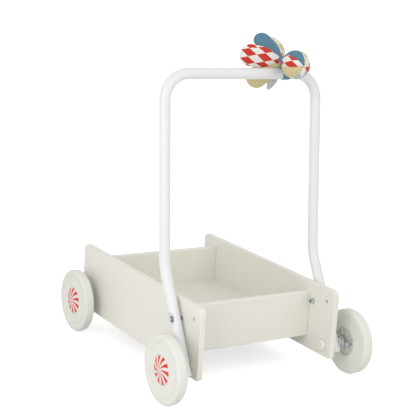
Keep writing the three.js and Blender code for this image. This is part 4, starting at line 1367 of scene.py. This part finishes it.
@dataclass
class Flower:
    """The stuffed flower: a ball of six gores, a gathered neck, six petals and the loop round the bar."""

    across: float = 73.0
    above_bar: float = 18.9
    ball_radius: float = 23.5
    ball_behind: float = 40.0
    ball_rows: int = 84
    gore_columns: int = 22
    crowding: float = 0.4
    core: tuple[float, float, float] = (4.0, 2.0, 3.0)
    core_radius: float = 8.5
    petal_length: float = 58.0
    petal_width: float = 37.0
    petal_thickness: float = 10.0
    petal_root: float = 0.24
    petal_widest: float = 0.58
    petal_blunt: float = 0.47
    tuck: float = 1.8
    parted: float = 0.22
    crease: float = 1.3
    cup: float = 5.0
    root_held: float = 0.05
    petal_print: tuple[tuple[float, float], ...] = ((-26.9, 4.03), (0.0, 12.1))
    ball_print: tuple[tuple[float, float], ...] = ((26.9, 0.7), (1.4, 13.2))
    seam_depth: float = 1.1
    seam_width: float = 1.1
    bulge: float = 0.5
    pucker: float = 0.28
    pucker_length: float = 4.2
    pucker_reach: float = 3.0
    pole: float = 0.004
    neck_places: tuple[float, ...] = (-18.3, -16.5, -12.0, -8.0, -4.5, -2.0, 0.5, 3.0, 6.0, 8.6, 10.1, 10.5)
    neck_radii: tuple[float, ...] = (8.4, 8.2, 7.4, 6.8, 6.4, 6.3, 6.5, 6.6, 6.0, 4.4, 2.2, 0.3)
    neck_rows: int = 60
    neck_sides: int = 96
    drift: tuple[float, float] = (-12.0, 2.0)
    neck_folds: int = 12
    fold_depth: float = 0.8
    fold_at: float = -9.0
    fold_reach: float = 7.0
    fold_waver: float = 0.6
    bar_clearance: float = 10.6
    loop_inner: float = 9.15
    loop_wall: float = 0.95
    loop_edges: tuple[float, float] = (-0.6, 15.0)
    loop_lean: float = 3.0
    loop_waver: float = 0.15
    waver_waves: int = 9
    loop_plump: float = 0.06
    plump_waves: int = 5

    @property
    def middle(self) -> np.ndarray:
        """The point on the flower's axis straight above the bar."""
        return np.array([self.across, CART.bar[0], CART.bar[1] + self.above_bar])

    def print_map(self, cloth: np.ndarray, at: tuple[float, float], diagonals: Profile) -> np.ndarray:
        """Lozenge coordinates of places on the cloth: how many long and how many short diagonals lead to
        them from one lozenge's middle.

        Args:
            cloth: Distances along and across the petal or gore, on the last axis.
            at: Where one lozenge has its middle.
            diagonals: The lozenge's long diagonal and its short one.

        Returns:
            u and v, on the last axis.
        """
        return (cloth - at) @ np.linalg.inv(np.array(diagonals))

    def petal_blank(self, petal: Petal, count: int = 36) -> Patch:
        """A flat petal of two cloths, slightly parted.

        The grid runs from the root (a = -1) over the widest place (a = 0) to the tip (a = 1). Its half
        towards the tip is rounded by x = a (1 - b^2 / 2)^n and y = b (1 - a^2 / 2)^n, which is a disc for
        n = 0.5 and blunter below that. Its half towards the root narrows by a quarter of a sine, and its
        end is hollow to fit the core. The cloths part by (1 - a^2)^0.4 sqrt(1 - b^2) towards the tip,
        and close again at the root.

        Args:
            petal: The petal's plan.
            count: Points along each side of the grid.

        Returns:
            The blank, along +X, with its maps and its cloths.
        """
        rows = np.insert(np.linspace(-1, 1, count), 1, -0.985)
        a, b = np.meshgrid(rows, np.linspace(-1, 1, count), indexing="ij")
        rise = np.sin(np.pi / 2 * np.minimum(1 + a, 1))
        x = np.where(a > 0, a * (1 - b * b / 2) ** self.petal_blunt, a)
        narrow = self.petal_root + (1 - self.petal_root) * rise
        y = b * np.where(a > 0, (1 - a * a / 2) ** self.petal_blunt, narrow)
        share = np.where(a > 0, self.petal_widest + (1 - self.petal_widest) * x, self.petal_widest * (1 + x))
        part = np.sqrt(1 - b * b) * np.where(a > 0, (1 - a * a) ** 0.4, rise**0.35)
        length = self.petal_length * petal.share + self.tuck
        along, across = length * share, self.petal_width / 2 * petal.wide * y
        along = along - (across**2 / (2 * self.core_radius)) * np.maximum(-a, 0) ** 6
        patch = joined([grid_patch(
            np.stack([along, across, side * self.parted * self.petal_thickness * part], -1), around=False)
            for side in (1, -1)], (0, 1))
        flat = patch.points[:, :2]
        patch.maps = {"weave": flat, "lozenge": self.print_map(flat, petal.print_at, self.petal_print)}
        return patch

    def inflate(self, item: bpy.types.Object, enlarged: float = 12.0, frames: int = 22) -> None:
        """Blows a petal up as cloth under pressure, with its root held, and leaves the result in its mesh.

        The cloth is enlarged while it is blown up, since the simulation is made for larger things.

        Args:
            item: The petal's object, still flat.
            enlarged: How many times it is enlarged meanwhile.
            frames: How many steps it has.
        """
        item.data.transform(Matrix.Scale(enlarged, 4))
        along = vertices_of(item)[:, 0]
        held = item.vertex_groups.new(name="root")
        root = np.nonzero(along < along.min() + self.root_held * np.ptp(along))[0]
        held.add(root.tolist(), 1.0, "REPLACE")
        cloth = item.modifiers.new("cloth", "CLOTH")
        for name, value in CLOTH_SETTINGS.items():
            setattr(cloth.settings, name, value)
        cloth.settings.effector_weights.gravity = 0
        cloth.collision_settings.use_collision = False
        cloth.collision_settings.use_self_collision = False
        scene = bpy.context.scene
        for step in range(1, frames + 1):
            scene.frame_set(step)
        settle(item)
        scene.frame_set(1)
        item.vertex_groups.clear()
        item.data.transform(Matrix.Scale(1 / enlarged, 4))

    def stuff(self, item: bpy.types.Object) -> np.ndarray:
        """Stuffs a petal: its full form, and on it the creases that blowing it up makes.

        The full form is the blank with its cloths drawn apart. The blown-up one is brought to the same
        length, width and thickness, and what it differs by is let through up to the crease's depth,
        offset / sqrt(1 + (offset / depth)^2).

        Args:
            item: The petal's object, still flat.

        Returns:
            The petal's points in millimetres, along +X.
        """
        full = vertices_of(item) / MM * [1.0, 1.0, 0.5 / self.parted]
        self.inflate(item)
        blown = vertices_of(item) / MM
        spread, wanted = np.ptp(blown, axis=0), np.ptp(full, axis=0)
        offset = (blown - blown.min(0)) * wanted / spread + full.min(0) - full
        size = np.linalg.norm(offset, axis=1, keepdims=True)
        return full + offset / np.sqrt(1 + (size / self.crease) ** 2)

    def shape_petal(self, item: bpy.types.Object, petal: Petal) -> None:
        """Stuffs a petal, bends it by the square of its length's share towards the ball, and puts it on
        the core."""
        points = self.stuff(item)
        points[:, 2] += self.cup * (points[:, 0] / (self.petal_length * petal.share)) ** 2
        turn, lean, roll = (math.radians(value) for value in (petal.turn, petal.sweep, petal.roll))
        outwards = Vector((-math.cos(turn), 0, math.sin(turn)))
        along = outwards * math.cos(lean) + Vector((0, 1, 0)) * math.sin(lean)
        face = outwards * math.sin(lean) - Vector((0, 1, 0)) * math.cos(lean)
        face = Matrix.Rotation(roll, 3, along) @ face
        across = face.cross(along)
        root = self.middle + np.array(self.core) + np.array(along) * (self.core_radius + FIT - self.tuck)
        placed = self.off_the_bar(root + points @ np.array([along, across, face]))
        item.data.vertices.foreach_set("co", (placed * MM).astype(np.float32).ravel())
        item.data.update()

    def off_the_bar(self, points: np.ndarray) -> np.ndarray:
        """Presses a petal flat where it would reach into the bar or the loop: each point's distance from
        the bar's axis becomes at least the clearance."""
        across = points[:, 1:] - np.array(CART.bar)
        reach = np.linalg.norm(across, axis=1, keepdims=True)
        pressed = points.copy()
        pressed[:, 1:] += across / reach * np.maximum(self.bar_clearance - reach, 0)
        return pressed

    def make_petal(self, petal: Petal) -> None:
        """Makes one petal: blank, stuffing, place, cloths, and one level of subdivision to soften it."""
        item = mesh_object(f"petal_{petal.label}", self.petal_blank(petal))
        self.shape_petal(item, petal)
        item.data.shade_smooth()
        level = item.modifiers.new("soft", "SUBSURF")
        level.levels = level.render_levels = 1
        finish_piece(item, [petal.front, petal.back], f"toy_petal_{petal.label}", Body.FLOWER)

    def ball_patch(self) -> Patch:
        """The ball round its axis along Y. Between two seams the radius swells by a sine; at a seam it
        sinks by a bell curve of the distance from it, and puckers run across the seam as a sine along
        it. The columns crowd towards the seams.

        Returns:
            The ball, with a cloth for each gore.
        """
        columns, size = self.gore_columns, self.ball_radius
        tilt = np.linspace(-np.pi / 2 + self.pole, np.pi / 2 - self.pole, self.ball_rows)
        starts = np.radians([gore.start for gore in GORES])
        widths = np.radians([gore.end - gore.start for gore in GORES])
        wave = np.cos(np.pi * np.linspace(0, 1, columns + 1)[:-1])
        share = 0.5 - 0.5 * wave * (1 - self.crowding + self.crowding * np.abs(wave))
        angle = (starts[:, None] + widths[:, None] * share).ravel()
        width, share = np.repeat(widths, columns), np.tile(share, len(GORES))
        lat, lon = np.meshgrid(tilt, angle, indexing="ij")
        near = np.minimum(share, 1 - share) * width * np.cos(lat) * size
        seam = np.exp(-((near / self.seam_width) ** 2))
        ripple = np.exp(-near / self.pucker_reach) * (1 - seam)
        radius = size - self.bulge * (1 - np.sin(np.pi * share) * np.cos(lat)) - self.seam_depth * seam
        radius = radius + self.pucker * ripple * np.sin(2 * np.pi * size * lat / self.pucker_length)
        origin = tuple(self.middle - np.array([0, self.ball_behind, 0]))
        axis = Axis(origin, (0.0, 1.0, 0.0), (1.0, 0.0, 0.0))
        return self.dress_ball(axis.place(radius * np.sin(lat), radius * np.cos(lat), lon), lat, lon)

    def dress_ball(self, points: np.ndarray, lat: np.ndarray, lon: np.ndarray) -> Patch:
        """Gives each gore its own points, maps and cloth, so that no map runs over a seam.

        Args:
            points: The ball's points, as rows x columns x 3.
            lat: Each point's tilt above the ball's equator.
            lon: Each point's angle round it.

        Returns:
            The same surface, one patch for each gore and a small blue one for each pole.
        """
        columns = lat.shape[1]
        parts = []
        for place, gore in enumerate(GORES):
            pick = (np.arange(self.gore_columns + 1) + place * self.gore_columns) % columns
            middle = math.radians((gore.start + gore.end) / 2)
            turn = (lon[:, pick] - middle + np.pi) % (2 * np.pi) - np.pi
            along = self.ball_radius * (lat[:, pick] + np.pi / 2)
            across = self.ball_radius * np.cos(lat[:, pick]) * turn
            part = grid_patch(points[:, pick], around=False)
            weave = np.stack([along, across], -1).reshape(-1, 2)
            part.maps = {"weave": weave, "lozenge": self.print_map(weave, gore.print_at, self.ball_print)}
            parts.append(part)
        for row in (0, -1):
            maps = {"weave": np.zeros((columns, 2)), "lozenge": np.full((columns, 2), 0.3)}
            parts.append(Patch(points[row], [list(range(columns))], maps))
        blue = next(place for place, gore in enumerate(GORES) if gore.cloth is BLUE_CLOTH)
        return joined(parts, (*range(len(GORES)), blue, blue))

    def neck_patch(self) -> Patch:
        """The gathered neck and the core that the petals are sewn to: circles along Y whose middle drifts
        from the flower's axis to the core. The folds are a cosine round them whose phase sways three
        times round, and they fade by a bell curve on both sides of their deepest place."""
        fine = np.linspace(self.neck_places[0], self.neck_places[-1], self.neck_rows)
        radius = np.interp(fine, self.neck_places, self.neck_radii)
        start, end = self.drift
        drift = eased(np.clip((fine - start) / (end - start), 0, 1))[:, None]
        angle = turns(self.neck_sides)
        fold = self.fold_depth * np.exp(-(((fine - self.fold_at) / self.fold_reach) ** 2))[:, None]
        uneven = self.fold_waver * np.sin(3 * angle)
        wide = radius[:, None] + fold * np.cos(self.neck_folds * angle + uneven)
        along = np.repeat(fine[:, None], self.neck_sides, axis=1)
        grid = np.stack([drift * self.core[0] + wide * np.cos(angle), along,
                         drift * self.core[2] + wide * np.sin(angle)], axis=-1)
        patch = grid_patch(grid + self.middle, caps=True)
        patch.maps["weave"] = np.stack([wide * angle, along], -1).reshape(-1, 2)
        return patch

    def loop_patch(self) -> Patch:
        """The cloth loop: a band with soft edges round the bar. Its left edge leans out to the left above
        the bar by a sine round it, where the neck pulls it. Slow sines round it make its edge waver and
        its cloth a little uneven."""
        angle = turns(120)
        left, right = self.loop_edges
        left = left - self.loop_lean * np.sin(angle)
        wall = self.loop_wall
        outline = rounded([(0, 0), (0, wall), (1, wall), (1, 0)], (0.02, 0.06, 0.06, 0.02), 4)
        share, lift = outline[:, :1], outline[:, 1:]
        waver = self.loop_waver * np.sin(self.waver_waves * angle)
        x = left + (right - left) * share + waver * (1 - share)
        radius = self.loop_inner + lift * (1 + self.loop_plump * np.sin(self.plump_waves * angle))
        around = np.broadcast_to(angle, x.shape)
        patch = grid_patch(Axis((self.across, *CART.bar)).place(x, radius, around), closed=True)
        patch.maps["weave"] = np.stack([x, self.loop_inner * around], -1).reshape(-1, 2)
        return patch

    def make(self) -> None:
        """Makes the ball, the neck, the loop and the petals. The squeaker inside keeps its solid."""
        ball = mesh_object("ball", self.ball_patch())
        ball.data.shade_smooth()
        finish_piece(ball, [gore.cloth for gore in GORES], "toy_ball", Body.FLOWER)
        neck = mesh_object("neck", self.neck_patch())
        neck.data.shade_smooth()
        finish_piece(neck, [BLUE_CLOTH], "toy_neck", Body.FLOWER)
        loop = mesh_object("bar_loop", self.loop_patch())
        smooth(loop, 50)
        finish_piece(loop, [BLUE_CLOTH], "toy_loop", Body.LOOP)
        for petal in PETALS:
            self.make_petal(petal)


# ---------------------------------------------------------------------------------------------
# Studio
# ---------------------------------------------------------------------------------------------


@dataclass(frozen=True)
class Lamp:
    """A round soft lamp that faces the cart.

    Attributes:
        name: Its name.
        strength: Its light on a surface of the cart that faces it.
        come_from: The direction that its light comes from.
        away: Its distance from the middle of the cart in metres.
        size: Its diameter in metres.
        colour: Its light's colour.
    """

    name: str
    strength: float
    come_from: tuple[float, float, float]
    away: float
    size: float
    colour: str


LAMPS = (
    Lamp("key_lamp", 0.86, (-0.85, -0.42, 0.34), 1.35, 1.0, "f6f9ff"),
    Lamp("fill_lamp", 0.66, (0.15, -0.85, 0.62), 2.6, 2.5, "fafcff"),
)


@dataclass
class Studio:
    """The camera, the pale floor and the soft light. Angles are in degrees."""

    position: tuple[float, float, float] = (-994.94, -1563.99, 672.25)
    yaw: float = 32.30
    pitch: float = 12.64
    roll: float = 3.72
    lens: float = 96.14
    film: float = 36.0
    reach: tuple[float, float] = (0.05, 50.0)  # what the camera sees, in metres
    sky: float = 0.71
    sky_colour: str = "fffdf9"
    floor_half: float = 30000.0
    floor_z: float = -0.1
    floor_colour: tuple[float, float, float, float] = (0.8, 0.8, 0.8, 1.0)
    glow: float = 0.5
    glow_colour: tuple[float, float, float, float] = (0.96, 0.98, 1.0, 1.0)
    middle: float = 150.0

    def camera(self) -> None:
        """The camera: it looks along its yaw and its pitch and is turned about its line of sight."""
        yaw, pitch, roll = (math.radians(value) for value in (self.yaw, self.pitch, self.roll))
        ahead = Vector((math.sin(yaw) * math.cos(pitch), math.cos(yaw) * math.cos(pitch), -math.sin(pitch)))
        right = Vector((math.cos(yaw), -math.sin(yaw), 0))
        up = right.cross(ahead)
        across = right * math.cos(roll) + up * math.sin(roll)
        upwards = -right * math.sin(roll) + up * math.cos(roll)
        data = bpy.data.cameras.new("camera")
        data.lens, data.sensor_width = self.lens, self.film
        data.clip_start, data.clip_end = self.reach
        item = put("camera", data)
        turned_to = Matrix((across, upwards, -ahead)).transposed().to_4x4()
        item.matrix_world = Matrix.Translation(Vector(self.position) * MM) @ turned_to
        bpy.context.scene.camera = item

    def floor(self) -> None:
        """A wide matt floor that keeps the cart's shadow. To the camera and in reflections it is white:
        what the light leaves short of white is added there only."""
        half, z = self.floor_half, self.floor_z
        corners = np.array([[-half, -half, z], [half, -half, z], [half, half, z], [-half, half, z]])
        mesh = bpy.data.meshes.new("floor")
        mesh.from_pydata((corners * MM).tolist(), [], [[0, 1, 2, 3]])
        made = bpy.data.materials.new("matt_white_floor")  # matt white paint: no gloss at all
        tree = empty_tree(made)
        seen = self.seen(tree)
        colours = {0: seen, 6: self.floor_colour, 7: WHITE}
        colour = add_node(tree, "Mix", colours, data_type="RGBA").outputs[2]
        glow = add_node(tree, "Math", {0: seen, 1: self.glow}, operation="MULTIPLY")
        lights = {
            0: add_node(tree, "BsdfDiffuse", {0: colour}),
            1: add_node(tree, "Emission", {0: self.glow_colour, 1: glow}),
        }
        add_node(tree, "OutputMaterial", {0: add_node(tree, "AddShader", lights)})
        mesh.materials.append(made)
        put("floor", mesh)

    def seen(self, tree: bpy.types.NodeTree) -> bpy.types.Node:
        """1 for rays from the camera and for those that gloss or glass sends on."""
        path = add_node(tree, "LightPath").outputs
        first = {0: path["Is Camera Ray"], 1: path["Is Glossy Ray"]}
        both = {0: add_node(tree, "Math", first, operation="MAXIMUM"), 1: path["Is Transmission Ray"]}
        return add_node(tree, "Math", both, operation="MAXIMUM")

    def light(self) -> None:
        """An even sky and the broad lamps."""
        world = bpy.data.worlds.new("studio")
        tree = empty_tree(world)
        seen = self.seen(tree)
        colours = {0: seen, 6: linear(self.sky_colour), 7: WHITE}
        colour = add_node(tree, "Mix", colours, data_type="RGBA").outputs[2]
        strength = add_node(tree, "MapRange", {0: seen, 3: self.sky, 4: 1.0})
        add_node(tree, "OutputWorld", {0: add_node(tree, "Background", {0: colour, 1: strength})})
        bpy.context.scene.world = world
        for lamp in LAMPS:
            towards = Vector(lamp.come_from).normalized()
            data = bpy.data.lights.new(lamp.name, "AREA")
            data.shape, data.size = "DISK", lamp.size
            data.energy = lamp.strength * math.pi * lamp.away**2
            data.color = linear(lamp.colour)[:3]
            item = put(lamp.name, data)
            item.location = Vector((0.0, 0.0, self.middle * MM)) + towards * lamp.away
            item.rotation_mode = "QUATERNION"
            item.rotation_quaternion = towards.to_track_quat("Z", "Y")

    def make(self) -> None:
        """Sets up the studio and plain colours."""
        self.camera()
        self.floor()
        self.light()
        bpy.context.scene.view_settings.view_transform = "Standard"


def dress_hidden(nodes: dict[str, bpy.types.Object]) -> None:
    """Gives the solids that stay hidden inside others their own finish."""
    wanted = {"axle_bolt": ZINC, "lock_nut": ZINC, "toy_squeaker": BELLOWS_PLASTIC}
    for name, item in nodes.items():
        finish = next((made for key, made in wanted.items() if key in name), None)
        if finish is not None:
            item.data.materials.clear()
            item.data.materials.append(finish.material())
            LOG.info("%s keeps its solid", name)


def main() -> None:
    """Builds the studio and the cart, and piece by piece."""
    logging.basicConfig(level=logging.INFO, format="%(name)s: %(message)s")
    Studio().make()
    Box().make()
    Handle().make()
    RunningGear().make()
    rear, front = (175.2, CART.rear_axle[0]), (154.8, CART.front_axle[0])
    for label, side, place, body, cap_turn in (
        ("rear_left", -1, rear, Body.REAR_LEFT, 0.0),
        ("rear_right", 1, rear, Body.REAR_RIGHT, 7.0),
        ("front_left", -1, front, Body.FRONT_LEFT, 18.0),
        ("front_right", 1, front, Body.FRONT_RIGHT, -9.0),
    ):
        Wheel(label, side, *place, body, cap_turn).make()
    Flower().make()
    dress_hidden(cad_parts)


if __name__ == "__main__":
    main()
